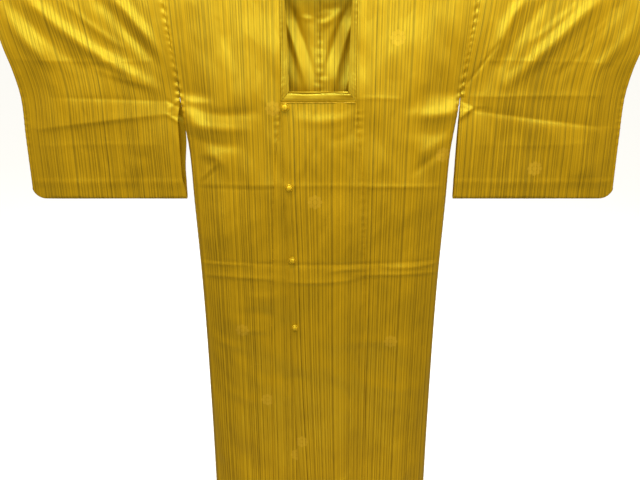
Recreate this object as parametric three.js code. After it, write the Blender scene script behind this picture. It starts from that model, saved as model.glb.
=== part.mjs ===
// A full-length kimono raincoat of the michiyuki cut, with a square framed neck, hanging on a round
// pole that runs through both sleeves. Millimetres, +Z up, the front faces -Y, and the origin is the
// middle of the pole's axis. Left and right are the wearer's: the wearer's left side is at +X.
//
// The coat is cut from one narrow bolt of striped satin. Each cloth piece is a thin wall: a grid of
// points on the cloth's middle surface, given half its thickness to each side. Heights on the coat
// are drops, measured down from the pole's axis, and "across" is the distance from the centre line.
import * as THREE from "three";
import { mergeVertices } from "three/addons/utils/BufferGeometryUtils.js";

// ---- Driving dimensions -------------------------------------------------------------------------
const CLOTH = 1.2; // thickness of one layer, with its turnings
const COLLAR_THICKNESS = 2; // the neck frame is a folded double band
const SEAM_GAP = 0.4; // air between two pieces that are sewn edge to edge
const LAYER_STEP = 2.6; // how far the upper front overlap stands off the lower one

const POLE_RADIUS = 12;
const POLE_LENGTH = 1450;
const POLE_CHAMFER = 1.5;
const POLE_CLEARANCE = 0.9; // the cloth clears the pole by this, and the collar by a little less
const FOLD_RADIUS = POLE_RADIUS + POLE_CLEARANCE + CLOTH / 2; // middle of the cloth over the pole

const HEM_DROP = 1386;
const UNDERARM_DROP = 233; // where the sleeve seam ends and the side seam begins
const SLEEVE_BOTTOM_DROP = 463;
const SLEEVE_CORNER = 28; // radius of the sleeve's rounded outer corner
const CORNER_ARC = 0.85; // the corner's arc stops a little short of upright
const SLEEVE_SEAM_HALF = 1.2; // half the step between the two layers where the sleeve is sewn shut

const NECK_SHIFT = -3; // the neck hangs this far off the centre line
const NECK_HALF = 80; // neck seam to the middle of the neck
const NECK_BOTTOM_DROP = 241;
const BACK_NECK_DROP = 22;
const COLLAR_FRONT_HEIGHT = 21.5;

const BUTTON_HEIGHT = 6;

// The body's section at a drop: half its width, how far the front and back stand from the middle,
// and how far the cloth's edge stands from it at the sleeve seam or side seam.
const BODY_SECTIONS = [
  { drop: 0, half: 322, front: 13.5, back: 13.5, edge: 13.5 },
  { drop: 60, half: 318, front: 15, back: 14.5, edge: 12.5 },
  { drop: 130, half: 311, front: 18.5, back: 17, edge: 10 },
  { drop: 195, half: 305, front: 22.5, back: 20, edge: 5 },
  { drop: 233, half: 302, front: 25, back: 22, edge: 1.4 },
  { drop: 290, half: 296, front: 28, back: 24, edge: 0.9 },
  { drop: 350, half: 289, front: 31, back: 26, edge: 0.7 },
  { drop: 462, half: 286, front: 34, back: 30, edge: 0.5 },
  { drop: 694, half: 280, front: 37, back: 34, edge: 0.5 },
  { drop: 1020, half: 279, front: 40, back: 39, edge: 0.5 },
  { drop: 1386, half: 282, front: 43, back: 44, edge: 0.5 },
];

// The seam from the neck's corner to the hem that joins each front to its overlap, across, and the
// free edge of the upper overlap, which leans towards the wearer's left on its way down.
const FRONT_SEAMS = [
  { drop: 241, seam: 80, upperEdge: -85 },
  { drop: 290, seam: 86, upperEdge: -82 },
  { drop: 425, seam: 99, upperEdge: -80 },
  { drop: 600, seam: 106, upperEdge: -74 },
  { drop: 772, seam: 112, upperEdge: -71 },
  { drop: 1040, seam: 118, upperEdge: -62 },
  { drop: 1386, seam: 123, upperEdge: -46 },
];
const UNDER_EDGE = 38; // the lower overlap's free edge, hidden under the upper one

// The sleeve by drop: its outer edge across, and half the hollow bag's depth near the armhole, in the
// middle and at the cuff.
const SLEEVE_SECTIONS = [
  { drop: 0, outer: 676, armhole: 13.5, middle: 13.5, cuff: 13.5 },
  { drop: 60, outer: 672, armhole: 12.5, middle: 13.5, cuff: 15.5 },
  { drop: 130, outer: 663, armhole: 10, middle: 12.5, cuff: 14.5 },
  { drop: 175, outer: 655, armhole: 6.5, middle: 11.5, cuff: 9 },
  { drop: 233, outer: 651, armhole: 1.2, middle: 10.5, cuff: 1.1 },
  { drop: 320, outer: 651, armhole: 7, middle: 10, cuff: 1.1 },
  { drop: 463, outer: 654, armhole: 6, middle: 6.5, cuff: 1.1 },
];

// Folds, as ridges (height above 0) or troughs (below 0) along a curve from one point to another that
// bends towards a third. Each point is [across, drop]. Width is the distance from the crest at which
// the fold has mostly died away. The same folds run down a sleeve's or front's mirror image.
const SLEEVE_FOLDS = [
  { from: [662, 20], bend: [612, 108], to: [548, 152], width: 17, height: 4.5 },
  { from: [625, 28], bend: [552, 120], to: [420, 200], width: 15, height: -3.4 },
  { from: [572, 18], bend: [512, 118], to: [326, 206], width: 17, height: 6 },
  { from: [468, 25], bend: [400, 92], to: [322, 178], width: 15, height: -3.2 },
  { from: [418, 14], bend: [356, 84], to: [320, 168], width: 14, height: 4 },
  { from: [330, 262], bend: [470, 274], to: [630, 290], width: 14, height: 2.4 },
];
const BODY_FOLDS = [
  { from: [286, 254], bend: [240, 256], to: [180, 252], width: 13, height: -3 },
  { from: [280, 286], bend: [235, 298], to: [172, 292], width: 15, height: 4 },
  { from: [272, 326], bend: [225, 340], to: [165, 338], width: 16, height: -3 },
];
// The back sags into the neck opening in folds that run to a V under the neck's bottom edge.
const NECK_FOLDS = [
  { from: [-76, 44], bend: [-30, 96], to: [-12, 228], width: 10, height: 11 },
  { from: [73, 50], bend: [44, 84], to: [12, 200], width: 10, height: 11 },
  { from: [66, 118], bend: [56, 160], to: [36, 236], width: 9, height: 7 },
];
// Long shallow waves that the hanging cloth falls into, strongest at the hem.
const HEM_WAVES = [
  { length: 172, height: 3.2, phase: 0.4 },
  { length: 97, height: 1.3, phase: 2.1 },
];

const BUTTONS = [
  { across: -75, drop: 252, radius: 9 },
  { across: -68, drop: 427, radius: 8 },
  { across: -64, drop: 601, radius: 8 },
  { across: -60, drop: 776, radius: 8 },
];

// The seam that mitres the neck frame's front corners, from its outer end to its inner end.
const MITRE = {
  seamAcross: 80, seamDrop: NECK_BOTTOM_DROP - SEAM_GAP,
  freeAcross: 62.5, freeDrop: NECK_BOTTOM_DROP - COLLAR_FRONT_HEIGHT,
};
const COLLAR_EDGE = NECK_HALF - 0.6; // the frame's sides stop just short of the fronts' edges

// The collar from a front corner of the neck to the middle of the back: where its seam and its free
// edge run. Depth is behind the pole's axis. In front the collar keeps to the front's own surface,
// and only how far the free edge is turned in behind it is given.
const COLLAR_FRONT_ROWS = [
  { seamAcross: 79.5, seamDrop: 239.6, freeAcross: 62.9, freeDrop: 219, turnedIn: 2.5 },
  { seamAcross: COLLAR_EDGE, seamDrop: 214, freeAcross: 62.9, freeDrop: 200, turnedIn: 3.5 },
  { seamAcross: COLLAR_EDGE, seamDrop: 175, freeAcross: 63.5, freeDrop: 170, turnedIn: 5 },
  { seamAcross: COLLAR_EDGE, seamDrop: 125, freeAcross: 65, freeDrop: 125, turnedIn: 6.5 },
  { seamAcross: COLLAR_EDGE, seamDrop: 75, freeAcross: 67, freeDrop: 75, turnedIn: 7 },
  { seamAcross: COLLAR_EDGE, seamDrop: 32, freeAcross: 69, freeDrop: 32, turnedIn: 3 },
];
const COLLAR_SHOULDER_ANGLES = [0, 30, 60, 90, 120, 150]; // degrees round the pole from its front
const COLLAR_BACK_ROWS = [
  { neckShare: 1, freeAcross: 66.5, freeDepth: 13.9, freeDrop: -3 },
  { neckShare: 0.9, freeAcross: 62, freeDepth: 14.8, freeDrop: -2 },
  { neckShare: 0.7, freeAcross: 51, freeDepth: 16, freeDrop: 0.5 },
  { neckShare: 0.5, freeAcross: 38, freeDepth: 16.6, freeDrop: 1.5 },
  { neckShare: 0.3, freeAcross: 23, freeDepth: 17, freeDrop: 2.4 },
  { neckShare: 0, freeAcross: 0, freeDepth: 17.3, freeDrop: 3 },
];

// ---- Materials ----------------------------------------------------------------------------------
function material(name, color, roughness) {
  return new THREE.MeshStandardMaterial({ name, color, roughness, metalness: 0 });
}
const GOLD = 0xb88f1c;
const MATERIALS = {
  cloth: material("striped gold satin", GOLD, 0.42),
  collar: material("collar satin", GOLD, 0.42),
  button: material("covered button", GOLD, 0.45),
  pole: material("plain wood", 0xc9a577, 0.6),
};

// ---- Small helpers ------------------------------------------------------------------------------
const { lerp, smoothstep, degToRad } = THREE.MathUtils;

// Reads a table at any value of its first column, with smooth curves between its rows.
function readTable(rows) {
  const [key, ...columns] = Object.keys(rows[0]);
  const values = rows.flatMap((row) => columns.map((column) => row[column]));
  const curve = new THREE.CubicInterpolant(rows.map((row) => row[key]), values, columns.length);
  return (at) => {
    const found = curve.evaluate(at);
    return Object.fromEntries(columns.map((column, i) => [column, found[i]]));
  };
}

// The height of all the folds of a table at a point of the cloth.
function readFolds(folds) {
  const STEPS = 48;
  const curves = folds.map((fold) => ({
    ...fold,
    points: new THREE.QuadraticBezierCurve(
      new THREE.Vector2(...fold.from),
      new THREE.Vector2(...fold.bend),
      new THREE.Vector2(...fold.to),
    ).getPoints(STEPS),
  }));
  return (across, drop) => {
    const here = new THREE.Vector2(across, drop);
    return curves.reduce((height, fold) => {
      let nearest = Infinity;
      let share = 0;
      fold.points.forEach((point, i) => {
        const distance = point.distanceTo(here);
        if (distance < nearest) {
          nearest = distance;
          share = i / STEPS;
        }
      });
      const ends = Math.sqrt(Math.sin(Math.PI * lerp(0.06, 0.94, share)));
      return height + fold.height * ends * Math.exp(-((nearest / fold.width) ** 2));
    }, 0);
  };
}

const indices = (count) => Array.from({ length: count }, (_, i) => i);

// Evenly spaced numbers from one value to another, both included.
const spaced = (from, to, count) => indices(count + 1).map((i) => lerp(from, to, i / count));

// A closed wall round the middle surface that place(i, j) gives, i along a row and j up the rows.
// Where the surface wraps, the last column joins the first, as round a tube. Cells of the grid that
// has(i, j) refuses are left open, as at a neckline.
function clothWall(name, material, columns, rows, place, options = {}) {
  const { thickness = CLOTH, wraps = false, has = () => true } = options;
  const cellColumns = wraps ? columns : columns - 1;
  const inGrid = (i, j) => j >= 0 && j < rows - 1 && (wraps || (i >= 0 && i < cellColumns));
  const isCell = (i, j) => inGrid(i, j) && has(i, j);
  const everyCell = indices(rows - 1).flatMap((j) => indices(cellColumns).map((i) => [i, j]));
  const cells = everyCell.filter(([i, j]) => isCell(i, j));
  const outer = (i, j) => j * columns + (i % columns);
  const inner = (i, j) => columns * rows + outer(i, j);
  const quad = (a, b, c, d) => [a, b, c, a, c, d];
  const face = (i, j) => quad(outer(i, j), outer(i + 1, j), outer(i + 1, j + 1), outer(i, j + 1));

  const surface = new THREE.BufferGeometry();
  const points = indices(rows).flatMap((j) => indices(columns).map((i) => place(i, j)));
  surface.setFromPoints(points);
  surface.setIndex(cells.flatMap(([i, j]) => face(i, j)));
  surface.computeVertexNormals();
  const out = points.map((_, k) => new THREE.Vector3().fromBufferAttribute(surface.attributes.normal, k));
  const offset = (distance) => points.map((point, k) => point.clone().addScaledVector(out[k], distance));

  const edge = (i, j, k, l) => quad(outer(k, l), outer(i, j), inner(i, j), inner(k, l));
  const walls = cells.flatMap(([i, j]) => [
    ...face(i, j),
    ...quad(inner(i, j), inner(i, j + 1), inner(i + 1, j + 1), inner(i + 1, j)),
    ...(isCell(i, j - 1) ? [] : edge(i, j, i + 1, j)),
    ...(isCell(i, j + 1) ? [] : edge(i + 1, j + 1, i, j + 1)),
    ...(wraps || isCell(i - 1, j) ? [] : edge(i, j + 1, i, j)),
    ...(wraps || isCell(i + 1, j) ? [] : edge(i + 1, j, i + 1, j + 1)),
  ]);

  const wall = new THREE.BufferGeometry();
  wall.setFromPoints([...offset(thickness / 2), ...offset(-thickness / 2)]);
  wall.setIndex(walls);
  const closed = mergeVertices(wall.toNonIndexed()); // leaves out the points that no face uses
  closed.computeVertexNormals();
  const mesh = new THREE.Mesh(closed, material);
  mesh.name = name;
  return mesh;
}

// ---- The body's surface -------------------------------------------------------------------------
const QUARTER_ROUND = (FOLD_RADIUS * Math.PI) / 2; // the cloth from the pole's top to its side
const BACK_WAVE_SHIFT = 60; // the back's waves don't stand opposite the front's
const lengthAt = (drop) => QUARTER_ROUND + drop;
const bodySection = readTable(BODY_SECTIONS);
const frontSeams = readTable(FRONT_SEAMS);
const bodyFold = readFolds(BODY_FOLDS);
const neckFold = readFolds(NECK_FOLDS);

// How much of the full depth the cloth has at a share of the half width: above the underarm it eases
// flat into the sleeve, and below it turns round into the side seam.
function depthShare(share, drop) {
  const easing = 1 - smoothstep(share, 0.6, 1);
  const turning = Math.cbrt(Math.max(0, 1 - share ** 3));
  return lerp(easing, turning, smoothstep(drop, UNDERARM_DROP - 12, UNDERARM_DROP + 40));
}

// Long waves across the body, which die away towards the chest and the side seams.
function hemWave(across, drop, share) {
  const grown = smoothstep(drop, 420, HEM_DROP) * (1 - smoothstep(share, 0.75, 1));
  const heights = HEM_WAVES.map(
    ({ length, height, phase }) => height * Math.sin((2 * Math.PI * across) / length + phase),
  );
  return grown * heights.reduce((sum, height) => sum + height, 0);
}

// A point of the body's cloth. Length is measured along the cloth from the top of the pole, across
// has its sign, and out moves the point off the surface, as for a piece that lies on another.
function bodyPoint(isFront, across, length, out = 0) {
  const forward = isFront ? -1 : 1;
  const drop = length - QUARTER_ROUND;
  if (drop < 0) {
    const angle = length / FOLD_RADIUS;
    const radius = FOLD_RADIUS + out;
    return new THREE.Vector3(across, forward * radius * Math.sin(angle), radius * Math.cos(angle));
  }
  const section = bodySection(drop);
  const share = Math.min(1, Math.abs(across) / (section.half - SEAM_GAP / 2));
  const full = isFront ? section.front : section.back;
  let depth = section.edge + (full - section.edge) * depthShare(share, drop);
  depth += hemWave(isFront ? across : across + BACK_WAVE_SHIFT, drop, share);
  if (isFront) {
    depth += bodyFold(Math.abs(across), drop);
  } else {
    depth -= neckFold(across, drop) * smoothstep(drop, 25, 70);
  }
  return new THREE.Vector3(across, forward * (depth + out), -drop);
}

// Drops of the rows of a body panel, from the hem up to just under the pole, and the lengths of the
// rows that go over it, up to the shoulder line on its top.
const PANEL_DROPS = [
  ...spaced(HEM_DROP, 500, 5),
  ...[462, 425, 388, 350, 325, 305, 286, 266, 248, UNDERARM_DROP],
  ...[208, 180, 150, 120, 88, 56],
];
const OVER_POLE_LENGTHS = [14, 7, 0.4];

// Shares of the way from a start to the side for a panel's columns, closer together at the side.
const towardsSide = (count) => spaced(0, Math.PI / 2, count).map((angle) => Math.sin(angle) ** 0.9);

// ---- The cloth pieces ---------------------------------------------------------------------------
// One front, from its overlap seam and the neck out to the armhole and side seam.
function front(name, side) {
  const COLUMNS = 8;
  const lengths = [...[...PANEL_DROPS, 28, 0].map(lengthAt), ...OVER_POLE_LENGTHS];
  return clothWall(name, MATERIALS.cloth, COLUMNS + 1, lengths.length, (i, j) => {
    const drop = Math.max(0, lengths[j] - lengthAt(0));
    const seam = drop > NECK_BOTTOM_DROP ? frontSeams(drop).seam : NECK_HALF;
    const inner = seam + side * NECK_SHIFT + SEAM_GAP / 2;
    const outer = bodySection(drop).half - SEAM_GAP / 2;
    const share = towardsSide(COLUMNS)[side > 0 ? i : COLUMNS - i];
    return bodyPoint(true, side * lerp(inner, outer, share), lengths[j]);
  });
}

// The drop of the back's neckline at a share of the neck's half width.
const necklineDrop = (share) => (share < 1 ? BACK_NECK_DROP * Math.sqrt(1 - share ** 2) : 0);
const NECK_SHARES = [0, 0.1, 0.2, 0.3, 0.4, 0.5, 0.6, 0.7, 0.8, 0.9, 1];

// One back, from the centre seam out to the armhole and side seam. The columns up to the neck's
// corner stop at the neckline, and the others go on over the pole.
function back(name, side) {
  const COLUMNS_OUTSIDE = 6;
  const neckColumn = NECK_SHARES.length - 1;
  const neckHalf = NECK_HALF + side * NECK_SHIFT + SEAM_GAP / 2;
  const columns = neckColumn + COLUMNS_OUTSIDE + 1;
  const fromCentre = (i, last) => (side > 0 ? last - i : i);

  // The lengths of one column's rows, from the hem to the neckline or the shoulder line.
  const columnLengths = (neckShare) => {
    const lowest = PANEL_DROPS.at(-1);
    const top = necklineDrop(neckShare);
    const drops = [...PANEL_DROPS, lerp(lowest, top, 0.55), top];
    return [...drops.map(lengthAt), ...OVER_POLE_LENGTHS];
  };
  const neckRow = PANEL_DROPS.length + 1;
  const rows = neckRow + 1 + OVER_POLE_LENGTHS.length;

  return clothWall(name, MATERIALS.cloth, columns, rows, (i, j) => {
    const column = fromCentre(i, columns - 1);
    const neckShare = NECK_SHARES[Math.min(column, neckColumn)];
    const length = columnLengths(neckShare)[j];
    const half = bodySection(Math.max(0, length - lengthAt(0))).half - SEAM_GAP / 2;
    const outside = towardsSide(COLUMNS_OUTSIDE)[Math.max(0, column - neckColumn)];
    const across = column > neckColumn ? lerp(neckHalf, half, outside) : neckShare * neckHalf;
    return bodyPoint(false, side * Math.max(SEAM_GAP, across), length);
  }, { has: (i, j) => j < neckRow || fromCentre(i, columns - 2) >= neckColumn });
}

// How far the upper overlap stands off the front's surface: nothing at its seam, one step beyond it.
const upperStep = (across, seam) => LAYER_STEP * (1 - smoothstep(across, seam - 40, seam - 6));

const OVERLAP_TOP = NECK_BOTTOM_DROP + SEAM_GAP;
const OVERLAP_DROPS = [...PANEL_DROPS.filter((drop) => drop > OVERLAP_TOP), OVERLAP_TOP];

// The upper overlap, sewn to the wearer's left front and buttoned over the right.
function upperOverlap(name) {
  const COLUMNS = 7;
  return clothWall(name, MATERIALS.cloth, COLUMNS + 1, OVERLAP_DROPS.length, (i, j) => {
    const drop = OVERLAP_DROPS[j];
    const { seam, upperEdge } = frontSeams(drop);
    const seamAcross = seam + NECK_SHIFT - SEAM_GAP / 2;
    const across = lerp(upperEdge, seamAcross, i / COLUMNS);
    return bodyPoint(true, across, lengthAt(drop), upperStep(across, seamAcross));
  });
}

// The lower overlap, sewn to the wearer's right front and hidden by the upper one.
function lowerOverlap(name) {
  const COLUMNS = 5;
  return clothWall(name, MATERIALS.cloth, COLUMNS + 1, OVERLAP_DROPS.length, (i, j) => {
    const drop = OVERLAP_DROPS[j];
    const { seam } = frontSeams(drop);
    const across = lerp(-(seam - NECK_SHIFT - SEAM_GAP / 2), UNDER_EDGE, i / COLUMNS);
    return bodyPoint(true, across, lengthAt(drop));
  });
}

// The neck frame's bottom piece, mitred at both ends, on top of the upper overlap.
function collarFront(name) {
  const COLUMNS = 10;
  const ROWS = 3;
  const SWELL = 1.4; // the folded band is a little rounded
  const LOW_STEP = 0.4; // it comes down to the front past the overlap's seam
  return clothWall(name, MATERIALS.collar, COLUMNS + 1, ROWS + 1, (i, j) => {
    const up = j / ROWS;
    const drop = lerp(MITRE.seamDrop, MITRE.freeDrop, up);
    const reach = lerp(MITRE.seamAcross, MITRE.freeAcross, up) - SEAM_GAP;
    const across = NECK_SHIFT + lerp(-reach, reach, i / COLUMNS);
    const step = lerp(LAYER_STEP, LOW_STEP, smoothstep(across, 20, 60));
    const out = step + SWELL * Math.sin(Math.PI * up) + (COLLAR_THICKNESS - CLOTH) / 2;
    return bodyPoint(true, across, lengthAt(drop), out);
  }, { thickness: COLLAR_THICKNESS });
}

// The rest of the neck frame, in one strip: up one side of the neck, over the shoulder, round the
// back of the neck and down the other side. Rows run from the wearer's right to the left.
function collar(name) {
  const COLUMNS = 3;
  const frontRows = COLLAR_FRONT_ROWS.map((row) => {
    const seam = bodyPoint(true, row.seamAcross, lengthAt(row.seamDrop));
    const free = bodyPoint(true, row.freeAcross, lengthAt(row.freeDrop));
    return { seam, free: free.setY(free.y + row.turnedIn) };
  });
  const radius = POLE_RADIUS + POLE_CLEARANCE - 0.1 + COLLAR_THICKNESS / 2;
  const [topRow] = COLLAR_BACK_ROWS;
  const shoulderRows = COLLAR_SHOULDER_ANGLES.map((degrees) => {
    const y = -radius * Math.cos(degToRad(degrees));
    const z = radius * Math.sin(degToRad(degrees));
    const freeAcross = lerp(COLLAR_FRONT_ROWS.at(-1).freeAcross, topRow.freeAcross, degrees / 180);
    return { seam: new THREE.Vector3(COLLAR_EDGE, y, z), free: new THREE.Vector3(freeAcross, y, z) };
  });
  const backRows = COLLAR_BACK_ROWS.map((row) => {
    const seamAcross = row.neckShare * COLLAR_EDGE;
    const seamDrop = necklineDrop(row.neckShare) - 1.5 * SEAM_GAP;
    return {
      seam: new THREE.Vector3(seamAcross, radius, -seamDrop),
      free: new THREE.Vector3(row.freeAcross, row.freeDepth, -row.freeDrop),
    };
  });
  const half = [...frontRows, ...shoulderRows, ...backRows];
  const mirrored = half.slice(0, -1).map(({ seam, free }) => ({
    seam: new THREE.Vector3(-seam.x, seam.y, seam.z),
    free: new THREE.Vector3(-free.x, free.y, free.z),
  }));
  const rows = [...mirrored, ...[...half].reverse()];
  return clothWall(name, MATERIALS.collar, COLUMNS + 1, rows.length, (i, j) => {
    const point = rows[j].seam.clone().lerp(rows[j].free, i / COLUMNS);
    return point.setX(point.x + NECK_SHIFT);
  }, { thickness: COLLAR_THICKNESS });
}

// ---- The sleeves --------------------------------------------------------------------------------
const sleeveSection = readTable(SLEEVE_SECTIONS);
const sleeveFold = readFolds(SLEEVE_FOLDS);

// The sleeve's rings from the armhole outwards: the first ones by their share of the width up to the
// outer stretch, and the others by their distance from the outer edge, where the corner is rounded.
const OUTER_STRETCH = 60;
const INNER_RINGS = [0, 0.04, 0.1, 0.19, 0.29, 0.4, 0.52, 0.64, 0.76, 0.88].map((share) => ({ share }));
const OUTER_RINGS = [45, SLEEVE_CORNER, 18, 9, 3, 0].map((distance) => ({ distance }));
const RINGS = [...INNER_RINGS, ...OUTER_RINGS];

// The stops of half a ring: round the pole, down the wall, and round the bottom to the lowest point.
const WALL_DROPS = [0, 30, 58, 86, 112, 138, 163, 188, 212, 233, 258, 276, 296, 330, 380, 425];
const WALL_END = 437; // where the wall turns into the bottom on this scale of drops
const HALF_RING = [
  ...[0, 30, 60].map((degrees) => ({ part: "pole", angle: degToRad(degrees) })),
  ...WALL_DROPS.map((drop) => ({ part: "wall", share: drop / WALL_END })),
  ...[0, 35, 70, 90].map((degrees) => ({ part: "bottom", angle: degToRad(degrees) })),
];

// Where a ring is at a drop, and half the bag's depth there.
function sleeveAt(ring, drop, isFront) {
  const { outer, armhole, middle, cuff } = sleeveSection(drop);
  const clearOfSide = SEAM_GAP + 0.9 * smoothstep(drop, 160, UNDERARM_DROP);
  const inner = bodySection(Math.min(drop, UNDERARM_DROP)).half + clearOfSide;
  const fromOuter = ring.distance ?? lerp(outer - inner, OUTER_STRETCH, ring.share);
  const across = outer - fromOuter;
  const nearArmhole = 1 - smoothstep(across - inner, 0, 90);
  const nearCuff = 1 - smoothstep(fromOuter, 0, 75);
  const fade = smoothstep(drop, 15, 60) * (1 - nearArmhole) * (1 - nearCuff);
  const fold = sleeveFold(across, drop) * fade * (isFront ? 1 : 0.8);
  const half = lerp(lerp(middle, armhole, nearArmhole), cuff, nearCuff) + fold;
  return { across, fromOuter, half: Math.max(half, SLEEVE_SEAM_HALF) };
}

// A point of a sleeve, at a stop of the front or back half of a ring.
function sleevePoint(side, ring, stop, isFront) {
  const forward = isFront ? -1 : 1;
  if (stop.part === "pole") {
    const y = forward * FOLD_RADIUS * Math.sin(stop.angle);
    const { across } = sleeveAt(ring, 0, isFront);
    return new THREE.Vector3(side * across, y, FOLD_RADIUS * Math.cos(stop.angle));
  }
  const low = sleeveAt(ring, SLEEVE_BOTTOM_DROP - 10, true);
  const into = CORNER_ARC * Math.max(0, SLEEVE_CORNER - low.fromOuter);
  const rise = Math.sqrt(SLEEVE_CORNER ** 2 - into ** 2);
  const bottom = SLEEVE_BOTTOM_DROP - SLEEVE_CORNER + rise;
  const turn = low.half * Math.hypot(1, into / rise); // longer where the edge is steep
  if (stop.part === "bottom") {
    const y = forward * low.half * Math.cos(stop.angle);
    return new THREE.Vector3(side * low.across, y, -bottom + turn * (1 - Math.sin(stop.angle)));
  }
  const drop = stop.share * (bottom - turn);
  const { across, half } = sleeveAt(ring, drop, isFront);
  const settled = lerp(half, low.half, smoothstep(drop, 400, bottom - turn));
  return new THREE.Vector3(side * across, forward * settled, -drop);
}

// A sleeve is one length of cloth folded over the pole and sewn along its bottom, and up its outer
// edge to the cuff. Each ring runs from the top of the pole down the front and up the back.
function sleeve(name, side) {
  const front = HALF_RING.map((stop) => ({ stop, isFront: true }));
  const back = HALF_RING.slice(1, -1).reverse().map((stop) => ({ stop, isFront: false }));
  const loop = side > 0 ? [...front, ...back] : [...front, ...back].reverse();
  return clothWall(name, MATERIALS.cloth, loop.length, RINGS.length, (i, j) => {
    return sleevePoint(side, RINGS[j], loop[i].stop, loop[i].isFront);
  }, { wraps: true });
}

// ---- Buttons and pole ---------------------------------------------------------------------------
// A domed button covered in the coat's own cloth, flat at the back.
function button(name, { across, drop, radius }) {
  const SEGMENTS = 16;
  const RIM = 1.4;
  const BACK_EDGE = 0.6; // the back's edge is rolled in by this
  const CLEARANCE = 0.8;
  const dome = [0, 30, 55, 75].map(degToRad).map((angle) => new THREE.Vector2(
    radius * Math.cos(angle),
    RIM + (BUTTON_HEIGHT - RIM) * Math.sin(angle),
  ));
  const start = [new THREE.Vector2(0, 0), new THREE.Vector2(radius - BACK_EDGE, 0)];
  const profile = [...start, ...dome, new THREE.Vector2(0, BUTTON_HEIGHT)];
  const mesh = new THREE.Mesh(new THREE.LatheGeometry(profile, SEGMENTS), MATERIALS.button);
  mesh.position.copy(bodyPoint(true, across, lengthAt(drop), LAYER_STEP + CLOTH / 2 + CLEARANCE));
  mesh.rotation.x = Math.PI; // its domed face looks forward
  mesh.name = name;
  return mesh;
}

// The plain round pole, with its ends chamfered.
function pole(name) {
  const SEGMENTS = 28;
  const half = POLE_LENGTH / 2;
  const profile = [
    new THREE.Vector2(0, -half),
    new THREE.Vector2(POLE_RADIUS - POLE_CHAMFER, -half),
    new THREE.Vector2(POLE_RADIUS, -half + POLE_CHAMFER),
    new THREE.Vector2(POLE_RADIUS, half - POLE_CHAMFER),
    new THREE.Vector2(POLE_RADIUS - POLE_CHAMFER, half),
    new THREE.Vector2(0, half),
  ];
  const mesh = new THREE.Mesh(new THREE.LatheGeometry(profile, SEGMENTS), MATERIALS.pole);
  mesh.rotation.z = -Math.PI / 2;
  mesh.name = name;
  return mesh;
}

// ---- The whole coat -----------------------------------------------------------------------------
const coat = new THREE.Group();
coat.name = "kimono_raincoat";
coat.add(
  pole("pole"),
  back("back_left", 1),
  back("back_right", -1),
  front("front_left", 1),
  front("front_right", -1),
  lowerOverlap("overlap_right"),
  upperOverlap("overlap_left"),
  collar("collar"),
  collarFront("collar_front"),
  sleeve("sleeve_left", 1),
  sleeve("sleeve_right", -1),
);
BUTTONS.forEach((place, i) => coat.add(button(`button_${i + 1}`, place)));

export default coat;
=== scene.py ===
import math

import bpy
import numpy as np
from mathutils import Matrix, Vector


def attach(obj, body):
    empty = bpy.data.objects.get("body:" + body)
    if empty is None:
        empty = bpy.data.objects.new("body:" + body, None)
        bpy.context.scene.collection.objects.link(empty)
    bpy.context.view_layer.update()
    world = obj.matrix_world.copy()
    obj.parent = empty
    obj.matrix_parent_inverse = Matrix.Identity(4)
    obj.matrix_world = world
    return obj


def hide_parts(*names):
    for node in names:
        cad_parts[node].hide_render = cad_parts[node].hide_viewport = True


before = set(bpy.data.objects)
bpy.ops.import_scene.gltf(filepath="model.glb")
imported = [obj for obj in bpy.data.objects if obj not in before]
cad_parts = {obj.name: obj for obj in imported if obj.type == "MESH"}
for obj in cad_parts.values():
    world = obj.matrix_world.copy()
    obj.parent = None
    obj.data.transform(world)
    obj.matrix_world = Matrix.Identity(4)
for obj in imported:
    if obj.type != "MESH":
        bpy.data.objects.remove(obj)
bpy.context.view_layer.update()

# ---- Camera, floor and light --------------------------------------------------------------------
# The coat is looked at from in front of the neck and down, over a plain pale floor in an even white
# surround. Long soft lights hang above and before it, with weaker ones at the sides and low in
# front, one behind, and a broad glow from overhead.
bpy.ops.object.select_all(action="DESELECT")
bpy.ops.object.camera_add(location=(0, -1.42, -0.02), rotation=(math.radians(69), 0, 0))
camera = bpy.context.object
camera.data.sensor_width = 36
camera.data.lens = 36 * 650 / 640
camera.data.clip_start = 0.05
bpy.context.scene.camera = camera
bpy.context.scene.view_settings.view_transform = "Standard"


def soft_light(name, place, aim, width, height, watts):
    bpy.ops.object.light_add(type="AREA", location=place)
    light = bpy.context.object
    light.name = name
    light.data.shape = "RECTANGLE"
    light.data.size = width
    light.data.size_y = height
    light.data.energy = watts
    light.visible_camera = False
    light.rotation_euler = (Vector(aim) - Vector(place)).to_track_quat("-Z", "Y").to_euler()


soft_light("front_light", (0, -0.34, 0.6), (0, 0, -0.3), 1.7, 0.2, 15)
soft_light("sheen_light", (0, -1.1, 0.3), (0, 0, -0.2), 1.8, 0.25, 9.5)
soft_light("left_light", (1.2, -0.75, 0.7), (0.4, 0, 0), 0.6, 0.5, 5.5)
soft_light("right_light", (-1.25, -0.75, 0.6), (0, 0, -0.2), 0.6, 0.5, 4)
soft_light("low_light", (0, -0.75, -1.45), (0, 0, -1.2), 0.9, 0.2, 4.1)
bpy.context.object.visible_glossy = False
soft_light("back_light", (0.3, 1.9, 1.0), (0, 0, -0.6), 1.6, 0.8, 36)
bpy.ops.object.light_add(type="SUN", location=(0, 0, 3))
ceiling = bpy.context.object
ceiling.name = "ceiling_light"
ceiling.data.energy = 2.7
ceiling.data.angle = math.radians(50)

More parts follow.
